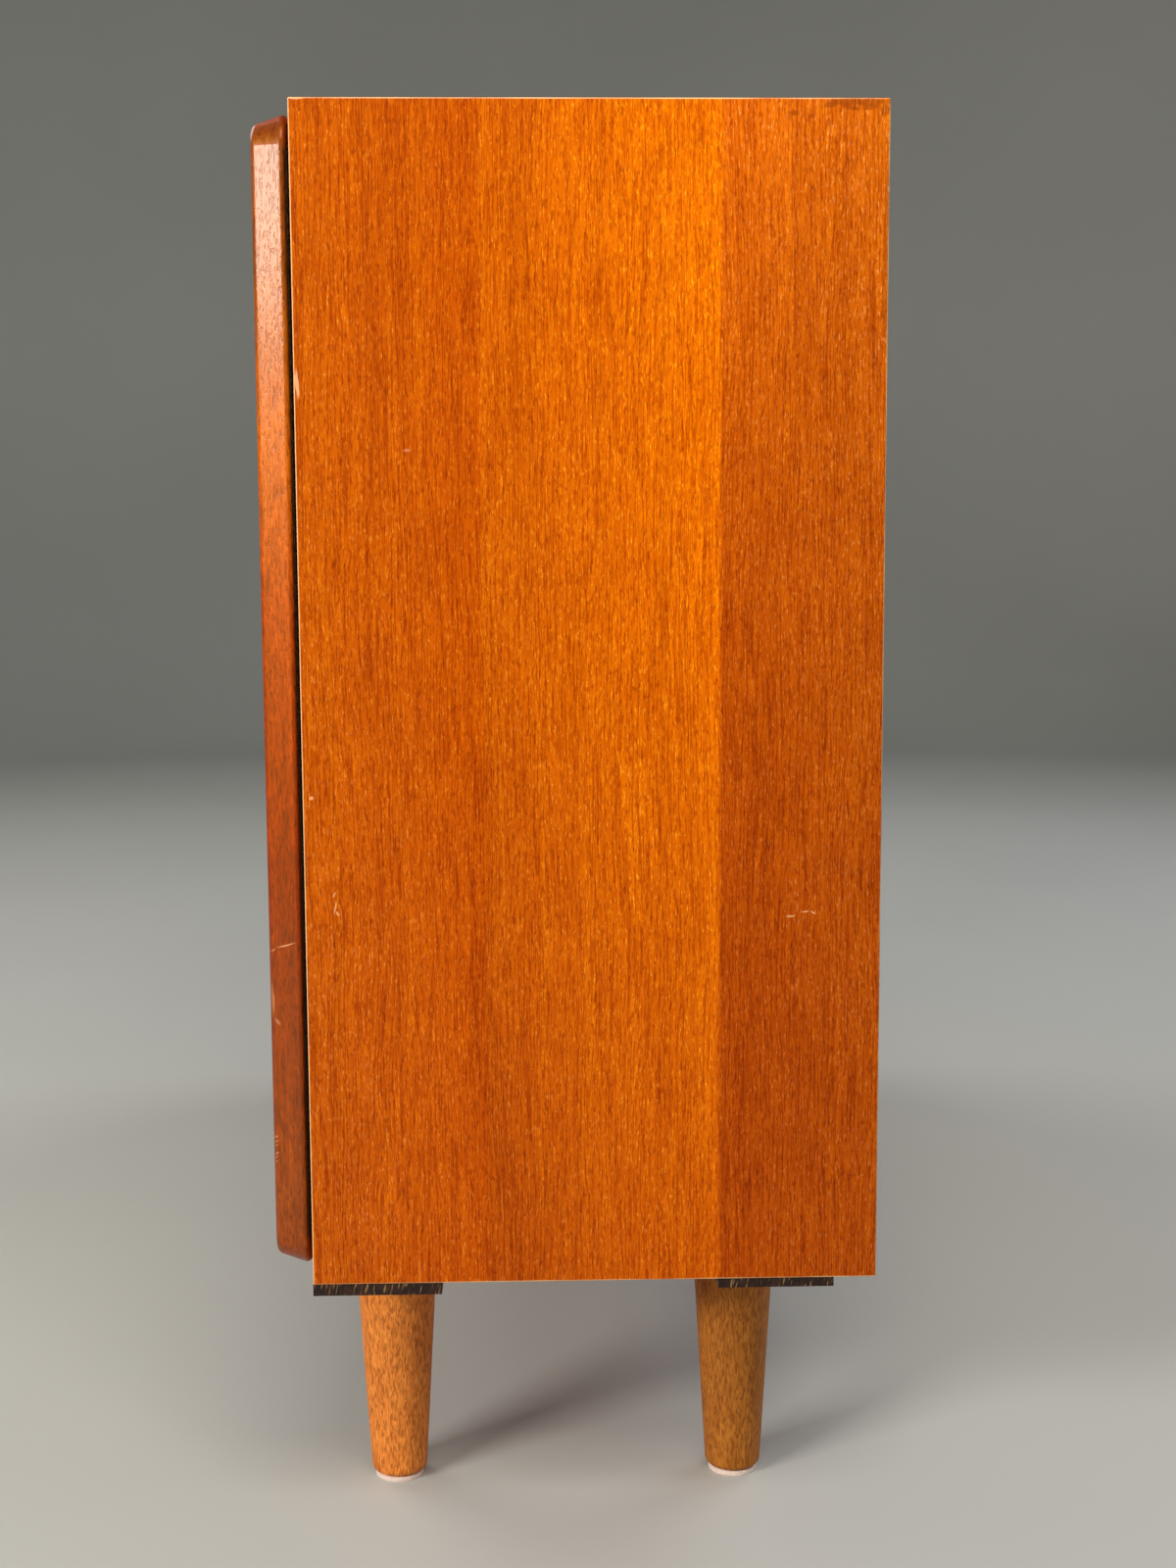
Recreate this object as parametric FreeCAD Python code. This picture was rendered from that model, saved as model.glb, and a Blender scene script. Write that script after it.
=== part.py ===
# Low teak bookcase with two framed glass doors, on four turned legs.
# Millimetres. +Z is up, the front faces -Y, and X runs to the right as seen from the front.
# The origin is on the floor, below the middle of the whole bookcase.
import FreeCAD
import Part
import os

V = FreeCAD.Vector

# Carcass: a mitred box of veneered panels
CARCASS_WIDTH = 1100.0
CARCASS_DEPTH = 330.0
CARCASS_HEIGHT = 671.0
PANEL_THICKNESS = 20.0
CARCASS_ARRIS = 1.0  # rounding of the outer edges
DIVIDER_THICKNESS = 18.0
DIVIDER_HOUSING = 6.0  # depth of the grooves that the divider's ends stand in
BACK_THICKNESS = 5.0
BACK_RECESS = 2.0  # of the back panel in front of the carcass's rear edges
BACK_OVERLAP = 10.0  # of the back panel on each panel of the carcass
BACK_CLEARANCE = 0.5  # all round the back panel in its rebate
CARCASS_TONGUE_WIDTH = 14.0
CARCASS_TONGUE_THICKNESS = 4.0
CARCASS_TONGUE_SETBACK = 20.0  # of each loose tongue from the front edge and from the rebate

# Legs, and the battens that carry them
FRONT_BATTEN_THICKNESS = 6.6
REAR_BATTEN_THICKNESS = 5.2
FRONT_BATTEN_WIDTH = 75.0
REAR_BATTEN_WIDTH = 68.0
REAR_BATTEN_FROM_BACK = 25.0
FRONT_LEG_HEIGHT = 149.8  # the rear legs are longer, because their batten is thinner
LEG_TOP_DIAMETER = 52.0
LEG_BOTTOM_DIAMETER = 34.5
LEG_ROUNDING = 4.8  # of the lower rim
LEG_FROM_SIDE = 92.0  # to the leg's axis
FRONT_LEG_FROM_FRONT = 42.0
REAR_LEG_FROM_BACK = 75.0
FELT_DIAMETER = 31.0
FELT_THICKNESS = 3.3
BOLT_DIAMETER = 8.0
BOLT_IN_LEG = 32.0
BOLT_COVER = 6.0  # wood left above the bolt in the carcass floor
BOLT_CLEARANCE = 0.1  # radial

# Shelves and their pins
SHELF_THICKNESS = 18.0
SHELF_SETBACK = 22.0  # of the lipping behind the carcass's front
SHELF_LIPPING = 8.0
SHELF_ARRIS = 1.5  # rounding of the lipping's front edges
SHELF_SIDE_CLEARANCE = 1.0
SHELF_BACK_CLEARANCE = 2.0
LOWER_SHELF_HEIGHT = 206.0  # of the pins above the carcass floor
UPPER_SHELF_HEIGHT = 430.0
PIN_DIAMETER = 5.0
PIN_CLEARANCE = 0.1  # radial
PIN_WEB = 1.0  # wood left between two holes that face each other in the divider
PIN_END_CLEARANCE = 0.5
PIN_PLATE_WIDTH = 12.0
PIN_PLATE_HEIGHT = 12.0
PIN_PLATE_REACH = 11.0
PIN_PLATE_THICKNESS = 1.6
PIN_ROW_FROM_FRONT = 60.0
PIN_ROW_FROM_BACK = 50.0
PIN_PITCH = 32.0
PIN_COUNT = 5  # holes in a group, centred on the height of a shelf's pins

# Doors: mitred frames with bevelled edges
DOOR_THICKNESS = 20.4
DOOR_GAP = 1.9  # between a door's back and the carcass
DOOR_SIDE_INSET = 2.8  # of a door's edge from the outer face of the side
DOOR_TOP_REVEAL = 4.2
DOOR_BOTTOM_REVEAL = 6.3
DOOR_MEETING_GAP = 3.0
DOOR_BEVEL = 6.7  # how far each edge leans in from the back to the front
DOOR_CORNER_RADIUS = 20.0  # at the back; less by the bevel at the front
DOOR_FRONT_ARRIS = 4.2
DOOR_BACK_ARRIS = 3.0
DOOR_OPENING_ARRIS = 2.0
DOOR_MEMBER_WIDTH = 44.0
DOOR_TONGUE_SIZE = 18.0
DOOR_TONGUE_THICKNESS = 4.0
GLASS_LIP = 6.8  # thickness of the wood in front of the glass
GLASS_REBATE = 8.0
GLASS_THICKNESS = 4.0
GLASS_CLEARANCE = 1.0

# Knobs
KNOB_PROJECTION = 24.0
KNOB_HEAD_DIAMETER = 25.0
KNOB_HEAD_THICKNESS = 13.0
KNOB_NECK_DIAMETER = 12.0
KNOB_NECK_FLARE = 1.0  # height of the slope between the neck and the foot, and under the head
KNOB_FOOT_DIAMETER = 17.0
KNOB_FOOT_THICKNESS = 3.0
KNOB_ROUNDING = 4.5
KNOB_SCREW_GRIP = 14.0  # of the screw in the knob

# Continuous hinges: two leaves, whose knuckles take turns on a pin that is as long as the hinge
HINGE_FROM_END = 22.0  # of a hinge from the top and from the bottom of its door
HINGE_LEAF_WIDTH = 14.0  # from the axis
HINGE_LEAF_THICKNESS = 0.7
HINGE_KNUCKLES = 13
HINGE_KNUCKLE_GAP = 0.4  # between two knuckles, and beside them in the other leaf
HINGE_KNUCKLE_CLEARANCE = 0.1  # of the knuckles from the carcass
HINGE_KNUCKLE_SINK = 0.4  # of the knuckles past the door's back, in the room that its arris leaves
HINGE_PIN_DIAMETER = 1.2
HINGE_PIN_CLEARANCE = 0.05  # radial
HINGE_SCREWS = 5  # in each leaf
HINGE_SCREW_FROM_AXIS = 8.5
HINGE_SCREW_FROM_END = 20.0

# Magnetic catches under the carcass top
CATCH_FROM_DIVIDER = 52.0  # to the catch's middle
CATCH_SETBACK = 2.0  # of the housing behind the carcass's front
CATCH_FLANGE_LENGTH = 46.0
CATCH_FLANGE_THICKNESS = 3.0
CATCH_BODY_LENGTH = 26.0
CATCH_BODY_HEIGHT = 14.0
CATCH_BODY_DEPTH = 16.0
MAGNET_LENGTH = 20.0
MAGNET_HEIGHT = 6.0
MAGNET_DEPTH = 12.0
STRIKE_LENGTH = 40.0
STRIKE_HEIGHT = 12.0
STRIKE_THICKNESS = 1.5
STRIKE_SCREW_SPACING = 30.0
CATCH_SCREW_SPACING = 36.0

# Slotted countersunk screws
SCREW_CLEARANCE = 0.1  # radial, all round a screw
SCREW_SLOT = 0.7
SCREW_SLOT_DEPTH = 0.7
SCREW_DIAMETER = 3.5
SCREW_HEAD_DIAMETER = 7.0
SMALL_SCREW_DIAMETER = 3.0
SMALL_SCREW_HEAD_DIAMETER = 6.0
SMALL_SCREW_LENGTH = 14.0
BACK_SCREW_LENGTH = 20.0
BACK_SCREWS_ACROSS = 6  # along the top and along the bottom
BACK_SCREWS_UP = 3  # along each side and along the divider, between those
BATTEN_SCREWS = 6
BATTEN_SCREW_COVER = 6.0  # wood left above a batten screw
BATTEN_SCREW_FROM_SIDE = 30.0

# How far a cut runs past the face that it opens
CUT_OVERRUN = 1.0

# Levels and planes that follow from the sizes above
leg_bottom = FELT_THICKNESS
carcass_bottom = leg_bottom + FRONT_LEG_HEIGHT + FRONT_BATTEN_THICKNESS
carcass_top = carcass_bottom + CARCASS_HEIGHT
inner_bottom = carcass_bottom + PANEL_THICKNESS
inner_top = carcass_top - PANEL_THICKNESS
half_width = CARCASS_WIDTH / 2
inner_half = half_width - PANEL_THICKNESS
carcass_front = (DOOR_GAP + DOOR_THICKNESS + KNOB_PROJECTION - CARCASS_DEPTH) / 2
carcass_back = carcass_front + CARCASS_DEPTH
rebate_front = carcass_back - BACK_RECESS - BACK_THICKNESS
door_back = carcass_front - DOOR_GAP
door_front = door_back - DOOR_THICKNESS
door_top = carcass_top - DOOR_TOP_REVEAL
door_bottom = carcass_bottom + DOOR_BOTTOM_REVEAL
door_outer = half_width - DOOR_SIDE_INSET
door_inner = DOOR_MEETING_GAP / 2

# Directions that things are aimed in
UP = V(0, 0, 1)
DOWN = V(0, 0, -1)
BACKWARD = V(0, 1, 0)
FORWARD = V(0, -1, 0)

os.makedirs("parts", exist_ok=True)


def box(x0, x1, y0, y1, z0, z1):
    """A block between two limits on each axis."""
    return Part.makeBox(x1 - x0, y1 - y0, z1 - z0, V(x0, y0, z0))


def prism(outline, y0, y1):
    """A solid whose outline, a list of (x, z), runs from y0 to y1."""
    points = [V(x, y0, z) for x, z in outline]
    face = Part.Face(Part.makePolygon(points + points[:1]))
    return face.extrude(V(0, y1 - y0, 0))


def rod(diameter, start, direction, length):
    """A round rod from a point, along a direction."""
    return Part.makeCylinder(diameter / 2, length, start, direction)


def turned(profile):
    """A solid turned about Z from a list of (radius, height)."""
    points = [V(r, 0, z) for r, z in profile]
    face = Part.Face(Part.makePolygon(points + points[:1]))
    return face.revolve(V(0, 0, 0), UP, 360)


def mirrored(shape):
    """The same piece on the other side of the bookcase."""
    return shape.mirror(V(0, 0, 0), V(1, 0, 0))


def aimed(shape, point, direction):
    """A piece made pointing down from the origin, moved to a point and aimed in a direction."""
    copy = shape.copy()
    copy.Placement = FreeCAD.Placement(point, FreeCAD.Rotation(DOWN, direction))
    return copy


def on_plane_y(shape, y):
    """The edges of a shape that lie in one plane square to Y."""
    return [e for e in shape.Edges if all(abs(v.Point.y - y) < 1e-6 for v in e.Vertexes)]


def cut_all(shape, tools):
    """A shape less a list of tools, as one clean solid."""
    return shape.cut(tools).removeSplitter().Solids[0]


def save(name, solids):
    """Writes one node, which is one solid or several alike."""
    Part.makeCompound(solids).exportStep("parts/" + name + ".step")
    print(name, len(solids))


def screw(length, diameter, head, clearance=0.0, slot=True):
    """A countersunk screw that points down, with its head flush at the origin."""
    r = diameter / 2 + clearance
    head_r = head / 2 + clearance
    tip = diameter / 2
    end = length + clearance
    body = turned([(0, 0), (head_r, 0), (r, r - head_r), (r, tip - end), (0, -end)])
    if not slot:
        return body
    return body.cut(box(-head_r, head_r, -SCREW_SLOT / 2, SCREW_SLOT / 2, -SCREW_SLOT_DEPTH, CUT_OVERRUN))


def screw_and_hole(point, direction, length, diameter, head):
    """A screw in place, and the hole that it needs."""
    body = aimed(screw(length, diameter, head), point, direction)
    hole = aimed(screw(length, diameter, head, SCREW_CLEARANCE, False), point, direction)
    return body, hole


def screw_row(points, direction, length, diameter, head):
    """Screws at a list of points, and their holes."""
    pairs = [screw_and_hole(p, direction, length, diameter, head) for p in points]
    return [p[0] for p in pairs], [p[1] for p in pairs]


def corner_tongue(x_sign, z_sign, x, z, across, along, y0, y1):
    """A loose tongue that crosses the mitre of one corner, centred at x, z."""
    tongue = box(-across / 2, across / 2, y0, y1, -along / 2, along / 2)
    tongue.rotate(V(0, 0, 0), BACKWARD, 45 * x_sign * z_sign)
    tongue.translate(V(x, 0, z))
    return tongue


def mitred_sides(x0, x1, z0, z1, width, y0, y1):
    """The four mitred prisms of a frame: right, left, top and bottom."""
    xi0, xi1, zi0, zi1 = x0 + width, x1 - width, z0 + width, z1 - width
    outlines = {
        "right": [(x1, z0), (x1, z1), (xi1, zi1), (xi1, zi0)],
        "left": [(x0, z0), (xi0, zi0), (xi0, zi1), (x0, z1)],
        "top": [(x0, z1), (xi0, zi1), (xi1, zi1), (x1, z1)],
        "bottom": [(x0, z0), (x1, z0), (xi1, zi0), (xi0, zi0)],
    }
    return {side: prism(outline, y0, y1) for side, outline in outlines.items()}


CORNERS = [(1, 1), (-1, 1), (1, -1), (-1, -1)]

# Carcass panels, tongues and divider
carcass_blank = box(-half_width, half_width, carcass_front, carcass_back, carcass_bottom, carcass_top)
carcass_blank = carcass_blank.makeFillet(CARCASS_ARRIS, carcass_blank.Edges)
panel_blanks = mitred_sides(
    -half_width, half_width, carcass_bottom, carcass_top, PANEL_THICKNESS, carcass_front, carcass_back
)
panels = {side: carcass_blank.common(blank) for side, blank in panel_blanks.items()}
mid_panel = PANEL_THICKNESS / 2
carcass_tongues = []
for sx, sz in CORNERS:
    corner_z = carcass_top - mid_panel if sz > 0 else carcass_bottom + mid_panel
    carcass_tongues.append(corner_tongue(
        sx, sz, sx * (half_width - mid_panel), corner_z, CARCASS_TONGUE_WIDTH, CARCASS_TONGUE_THICKNESS,
        carcass_front + CARCASS_TONGUE_SETBACK, rebate_front - CARCASS_TONGUE_SETBACK,
    ))
back_half = inner_half + BACK_OVERLAP
back_rebate = box(
    -back_half, back_half, rebate_front, carcass_back + CUT_OVERRUN,
    inner_bottom - BACK_OVERLAP, inner_top + BACK_OVERLAP,
)
divider_half = DIVIDER_THICKNESS / 2
divider = box(
    -divider_half, divider_half, carcass_front, rebate_front,
    inner_bottom - DIVIDER_HOUSING, inner_top + DIVIDER_HOUSING,
)
carcass_cuts = carcass_tongues + [back_rebate, divider]

# Back panel and its screws, which go through the rebate's ledge and into the divider
back_panel = box(
    -back_half + BACK_CLEARANCE, back_half - BACK_CLEARANCE, rebate_front, rebate_front + BACK_THICKNESS,
    inner_bottom - BACK_OVERLAP + BACK_CLEARANCE, inner_top + BACK_OVERLAP - BACK_CLEARANCE,
)
back_face = rebate_front + BACK_THICKNESS
screw_half = inner_half + BACK_OVERLAP / 2
screw_low = inner_bottom - BACK_OVERLAP / 2
screw_high = inner_top + BACK_OVERLAP / 2
across_step = 2 * screw_half / (BACK_SCREWS_ACROSS - 1)
up_step = (screw_high - screw_low) / (BACK_SCREWS_UP + 1)
back_points = []
for i in range(BACK_SCREWS_ACROSS):
    x = -screw_half + i * across_step
    back_points += [V(x, back_face, screw_low), V(x, back_face, screw_high)]
for i in range(BACK_SCREWS_UP):
    z = screw_low + (i + 1) * up_step
    back_points += [V(x, back_face, z) for x in (-screw_half, 0, screw_half)]
back_screws, back_screw_holes = screw_row(
    back_points, FORWARD, BACK_SCREW_LENGTH, SMALL_SCREW_DIAMETER, SMALL_SCREW_HEAD_DIAMETER
)
carcass_cuts += back_screw_holes
back_panel = cut_all(back_panel, back_screw_holes)

# Battens, legs, bolts and felt glides
rear_batten_back = carcass_back - REAR_BATTEN_FROM_BACK
batten_fronts = {"front": carcass_front, "rear": rear_batten_back - REAR_BATTEN_WIDTH}
batten_backs = {"front": carcass_front + FRONT_BATTEN_WIDTH, "rear": rear_batten_back}
leg_y = {"front": carcass_front + FRONT_LEG_FROM_FRONT, "rear": carcass_back - REAR_LEG_FROM_BACK}
leg_x = {"right": half_width - LEG_FROM_SIDE, "left": LEG_FROM_SIDE - half_width}
bolt_top = inner_bottom - BOLT_COVER
leg_tops = {"front": carcass_bottom - FRONT_BATTEN_THICKNESS, "rear": carcass_bottom - REAR_BATTEN_THICKNESS}
bolts = []
felts = []
bolt_holes = []
batten_screws = []
for end, leg_top in leg_tops.items():
    leg_height = leg_top - leg_bottom
    leg_blank = Part.makeCone(LEG_BOTTOM_DIAMETER / 2, LEG_TOP_DIAMETER / 2, leg_height)
    lower_rim = [e for e in leg_blank.Edges if e.Closed and e.BoundBox.ZMax < leg_height / 2]
    leg_blank = leg_blank.makeFillet(LEG_ROUNDING, lower_rim)
    screw_length = inner_bottom - BATTEN_SCREW_COVER - leg_top
    holes = []
    for hand, x in leg_x.items():
        foot = V(x, leg_y[end], 0)
        bolt_start = foot + V(0, 0, leg_top - BOLT_IN_LEG)
        bolts.append(rod(BOLT_DIAMETER, bolt_start, UP, bolt_top - bolt_start.z))
        hole_start = bolt_start - UP * CUT_OVERRUN
        hole = rod(BOLT_DIAMETER + 2 * BOLT_CLEARANCE, hole_start, UP, bolt_top + CUT_OVERRUN - hole_start.z)
        holes.append(hole)
        leg = leg_blank.translated(foot + V(0, 0, leg_bottom))
        save(end + "_" + hand + "_leg", [cut_all(leg, [hole])])
        felts.append(rod(FELT_DIAMETER, foot, UP, FELT_THICKNESS))
    first = BATTEN_SCREW_FROM_SIDE - half_width
    step = -2 * first / (BATTEN_SCREWS - 1)
    middle = (batten_fronts[end] + batten_backs[end]) / 2
    points = [V(first + i * step, middle, leg_top) for i in range(BATTEN_SCREWS)]
    screws, screw_holes = screw_row(points, UP, screw_length, SCREW_DIAMETER, SCREW_HEAD_DIAMETER)
    batten_screws += screws
    batten = box(-half_width, half_width, batten_fronts[end], batten_backs[end], leg_top, carcass_bottom)
    save(end + "_batten", [cut_all(batten, holes + screw_holes)])
    bolt_holes += holes + screw_holes
carcass_cuts += bolt_holes
save("leg_bolts", bolts)
save("felt_glides", felts)
save("batten_screws", batten_screws)

# Shelves, on pins in rows of holes
pin_depth = divider_half - PIN_WEB
pin_rows = [carcass_front + PIN_ROW_FROM_FRONT, rebate_front - PIN_ROW_FROM_BACK]
pin_walls = {"right": [(divider_half, -1), (inner_half, 1)], "left": [(-divider_half, 1), (-inner_half, -1)]}
pin_heights = {"lower": inner_bottom + LOWER_SHELF_HEIGHT, "upper": inner_bottom + UPPER_SHELF_HEIGHT}
group_half = (PIN_COUNT - 1) / 2 * PIN_PITCH
hole_heights = [z - group_half + i * PIN_PITCH for z in pin_heights.values() for i in range(PIN_COUNT)]
hole_diameter = PIN_DIAMETER + 2 * PIN_CLEARANCE
pin_holes = []
for wall_x, into in pin_walls["right"] + pin_walls["left"]:
    for y in pin_rows:
        pin_holes += [rod(hole_diameter, V(wall_x, y, z), V(into, 0, 0), pin_depth) for z in hole_heights]
carcass_cuts += pin_holes
shelf_front = carcass_front + SHELF_SETBACK
shelf_back = rebate_front - SHELF_BACK_CLEARANCE
shelf_end = inner_half - SHELF_SIDE_CLEARANCE
shelf_start = divider_half + SHELF_SIDE_CLEARANCE
pins = []
for level, pin_z in pin_heights.items():
    seat = pin_z + PIN_PLATE_HEIGHT / 2
    shelf_top = seat + SHELF_THICKNESS
    lipping_back = shelf_front + SHELF_LIPPING
    lipping = box(shelf_start, shelf_end, shelf_front, lipping_back, seat, shelf_top)
    front_edges = [e for e in on_plane_y(lipping, shelf_front) if e.BoundBox.ZLength < SHELF_ARRIS]
    lipping = lipping.makeFillet(SHELF_ARRIS, front_edges)
    shelf = box(shelf_start, shelf_end, lipping_back, shelf_back, seat, shelf_top)
    save(level + "_right_shelf", [shelf])
    save(level + "_right_shelf_lipping", [lipping])
    save(level + "_left_shelf", [mirrored(shelf)])
    save(level + "_left_shelf_lipping", [mirrored(lipping)])
    for wall_x, into in pin_walls["right"] + pin_walls["left"]:
        for y in pin_rows:
            half = PIN_PLATE_WIDTH / 2
            near = sorted([wall_x, wall_x - into * PIN_PLATE_THICKNESS])
            far = sorted([wall_x, wall_x - into * PIN_PLATE_REACH])
            upright = box(near[0], near[1], y - half, y + half, seat - PIN_PLATE_HEIGHT, seat)
            ledge = box(far[0], far[1], y - half, y + half, seat - PIN_PLATE_THICKNESS, seat)
            shank = rod(PIN_DIAMETER, V(wall_x, y, pin_z), V(into, 0, 0), pin_depth - PIN_END_CLEARANCE)
            pins.append(upright.fuse([ledge, shank]).removeSplitter().Solids[0])
save("shelf_pins", pins)

# Catches under the carcass top, one beside each face of the divider
catch_x = divider_half + CATCH_FROM_DIVIDER
catch_front = carcass_front + CATCH_SETBACK
catch_bottom = inner_top - CATCH_BODY_HEIGHT
magnet_middle = catch_bottom + (CATCH_BODY_HEIGHT - CATCH_FLANGE_THICKNESS) / 2
strike_face = door_back + STRIKE_THICKNESS
flange = box(
    catch_x - CATCH_FLANGE_LENGTH / 2, catch_x + CATCH_FLANGE_LENGTH / 2, catch_front,
    catch_front + CATCH_BODY_DEPTH, inner_top - CATCH_FLANGE_THICKNESS, inner_top,
)
body = box(
    catch_x - CATCH_BODY_LENGTH / 2, catch_x + CATCH_BODY_LENGTH / 2, catch_front,
    catch_front + CATCH_BODY_DEPTH, catch_bottom, inner_top,
)
magnet = box(
    catch_x - MAGNET_LENGTH / 2, catch_x + MAGNET_LENGTH / 2, strike_face, strike_face + MAGNET_DEPTH,
    magnet_middle - MAGNET_HEIGHT / 2, magnet_middle + MAGNET_HEIGHT / 2,
)
catch_middle = V(catch_x, catch_front + CATCH_BODY_DEPTH / 2, inner_top - CATCH_FLANGE_THICKNESS)
catch_points = [catch_middle + V(side * CATCH_SCREW_SPACING / 2, 0, 0) for side in (-1, 1)]
catch_screws, catch_holes = screw_row(
    catch_points, UP, SMALL_SCREW_LENGTH, SMALL_SCREW_DIAMETER, SMALL_SCREW_HEAD_DIAMETER
)
housing = cut_all(flange.fuse(body).removeSplitter(), [magnet] + catch_holes)
carcass_cuts += catch_holes + [mirrored(h) for h in catch_holes]
save("catch_housings", [housing, mirrored(housing)])
save("catch_magnets", [magnet, mirrored(magnet)])
save("catch_screws", catch_screws + [mirrored(s) for s in catch_screws])

# Hinge of the right-hand door, with its axis in the gap behind the door and level with the door's edge
knuckle_diameter = DOOR_GAP + HINGE_KNUCKLE_SINK - HINGE_KNUCKLE_CLEARANCE
axis_x = door_outer
axis_y = carcass_front - HINGE_KNUCKLE_CLEARANCE - knuckle_diameter / 2
hinge_bottom = door_bottom + HINGE_FROM_END
hinge_top = door_top - HINGE_FROM_END
knuckle_step = (hinge_top - hinge_bottom) / HINGE_KNUCKLES
leaf_edge = axis_x - knuckle_diameter / 2 - HINGE_KNUCKLE_GAP
hinge_pin = rod(HINGE_PIN_DIAMETER, V(axis_x, axis_y, hinge_bottom), UP, hinge_top - hinge_bottom)
pin_bore = rod(
    HINGE_PIN_DIAMETER + 2 * HINGE_PIN_CLEARANCE, V(axis_x, axis_y, hinge_bottom - CUT_OVERRUN), UP,
    hinge_top - hinge_bottom + 2 * CUT_OVERRUN,
)


def hinge_leaf(first_knuckle, y0, y1, direction):
    """A leaf between two planes with every second knuckle, its screws, and the screws' holes."""
    head_y = y0 if direction == BACKWARD else y1
    tab_y0 = max(y0, axis_y - knuckle_diameter / 2)
    tab_y1 = min(y1, axis_y + knuckle_diameter / 2)
    length = knuckle_step - HINGE_KNUCKLE_GAP
    knuckles = []
    for i in range(first_knuckle, HINGE_KNUCKLES, 2):
        z = hinge_bottom + i * knuckle_step + HINGE_KNUCKLE_GAP / 2
        knuckles.append(box(leaf_edge, axis_x, tab_y0, tab_y1, z, z + length))
        knuckles.append(rod(knuckle_diameter, V(axis_x, axis_y, z), UP, length))
    plate = box(axis_x - HINGE_LEAF_WIDTH, leaf_edge, y0, y1, hinge_bottom, hinge_top)
    x = axis_x - HINGE_SCREW_FROM_AXIS
    first = hinge_bottom + HINGE_SCREW_FROM_END
    step = (hinge_top - HINGE_SCREW_FROM_END - first) / (HINGE_SCREWS - 1)
    screws, holes = screw_row(
        [V(x, head_y, first + i * step) for i in range(HINGE_SCREWS)], direction,
        SMALL_SCREW_LENGTH, SMALL_SCREW_DIAMETER, SMALL_SCREW_HEAD_DIAMETER,
    )
    leaf = cut_all(plate.fuse(knuckles).removeSplitter(), holes + [pin_bore])
    return leaf, screws, holes


carcass_leaf, hinge_screws, hinge_holes = hinge_leaf(
    0, carcass_front - HINGE_LEAF_THICKNESS, carcass_front, BACKWARD
)
door_leaf, door_leaf_screws, door_leaf_holes = hinge_leaf(
    1, door_back, door_back + HINGE_LEAF_THICKNESS, FORWARD
)
carcass_cuts += hinge_holes + [mirrored(h) for h in hinge_holes]
save("hinge_leaves", [carcass_leaf, mirrored(carcass_leaf)])
save("hinge_pins", [hinge_pin, mirrored(hinge_pin)])
save("hinge_screws", hinge_screws + [mirrored(s) for s in hinge_screws])

# The carcass, now that everything let into it is known
for side, panel in panels.items():
    name = side + ("_side_panel" if side in ("right", "left") else "_panel")
    save(name, [cut_all(panel, carcass_cuts)])
save("centre_divider", [cut_all(divider, back_screw_holes + pin_holes)])
save("carcass_tongues", carcass_tongues)
save("back_panel", [back_panel])
save("back_screws", back_screws)

# Right-hand door: the blank, whose edges lean in all round, with corners that are parts of cones, and arrises
cone_x = (door_inner + DOOR_CORNER_RADIUS, door_outer - DOOR_CORNER_RADIUS)
cone_z = (door_bottom + DOOR_CORNER_RADIUS, door_top - DOOR_CORNER_RADIUS)
upright = Part.makeWedge(
    cone_x[0], door_front, door_bottom + DOOR_BEVEL, door_bottom, cone_x[0],
    cone_x[1], door_back, door_top - DOOR_BEVEL, door_top, cone_x[1],
)
level = Part.makeWedge(
    door_inner + DOOR_BEVEL, door_front, cone_z[0], cone_z[0], door_inner,
    door_outer - DOOR_BEVEL, door_back, cone_z[1], cone_z[1], door_outer,
)
cones = [
    Part.makeCone(
        DOOR_CORNER_RADIUS - DOOR_BEVEL, DOOR_CORNER_RADIUS, DOOR_THICKNESS, V(x, door_front, z), BACKWARD
    )
    for x in cone_x for z in cone_z
]
blank = upright.fuse([level] + cones).removeSplitter()
blank = blank.makeFillet(DOOR_FRONT_ARRIS, on_plane_y(blank, door_front))
blank = blank.makeFillet(DOOR_BACK_ARRIS, on_plane_y(blank, door_back))

# Its opening, and the rebate that holds the glass and the beads
open_x0, open_x1 = door_inner + DOOR_MEMBER_WIDTH, door_outer - DOOR_MEMBER_WIDTH
open_z0, open_z1 = door_bottom + DOOR_MEMBER_WIDTH, door_top - DOOR_MEMBER_WIDTH
glass_front = door_front + GLASS_LIP
opening = box(open_x0, open_x1, door_front - CUT_OVERRUN, door_back + CUT_OVERRUN, open_z0, open_z1)
rebate_x0, rebate_x1 = open_x0 - GLASS_REBATE, open_x1 + GLASS_REBATE
rebate_z0, rebate_z1 = open_z0 - GLASS_REBATE, open_z1 + GLASS_REBATE
rebate = box(rebate_x0, rebate_x1, glass_front, door_back + CUT_OVERRUN, rebate_z0, rebate_z1)
frame = blank.cut(opening)
opening_edges = [e for e in on_plane_y(frame, door_front) if opening.BoundBox.isInside(e.BoundBox.Center)]
frame = frame.makeFillet(DOOR_OPENING_ARRIS, opening_edges)

# Its knob, strike plate and the tongues in its mitres
knob_x = door_inner + DOOR_MEMBER_WIDTH / 2
knob_z = (door_top + door_bottom) / 2
neck_end = KNOB_PROJECTION - KNOB_HEAD_THICKNESS
knob = turned([
    (0, 0), (KNOB_FOOT_DIAMETER / 2, 0), (KNOB_FOOT_DIAMETER / 2, KNOB_FOOT_THICKNESS),
    (KNOB_NECK_DIAMETER / 2, KNOB_FOOT_THICKNESS + KNOB_NECK_FLARE),
    (KNOB_NECK_DIAMETER / 2, neck_end - KNOB_NECK_FLARE),
    (KNOB_HEAD_DIAMETER / 2, neck_end), (KNOB_HEAD_DIAMETER / 2, KNOB_PROJECTION), (0, KNOB_PROJECTION),
])
head_rims = [
    e for e in knob.Edges
    if e.Closed and abs(e.BoundBox.XLength - KNOB_HEAD_DIAMETER) < 1e-3
]
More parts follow.
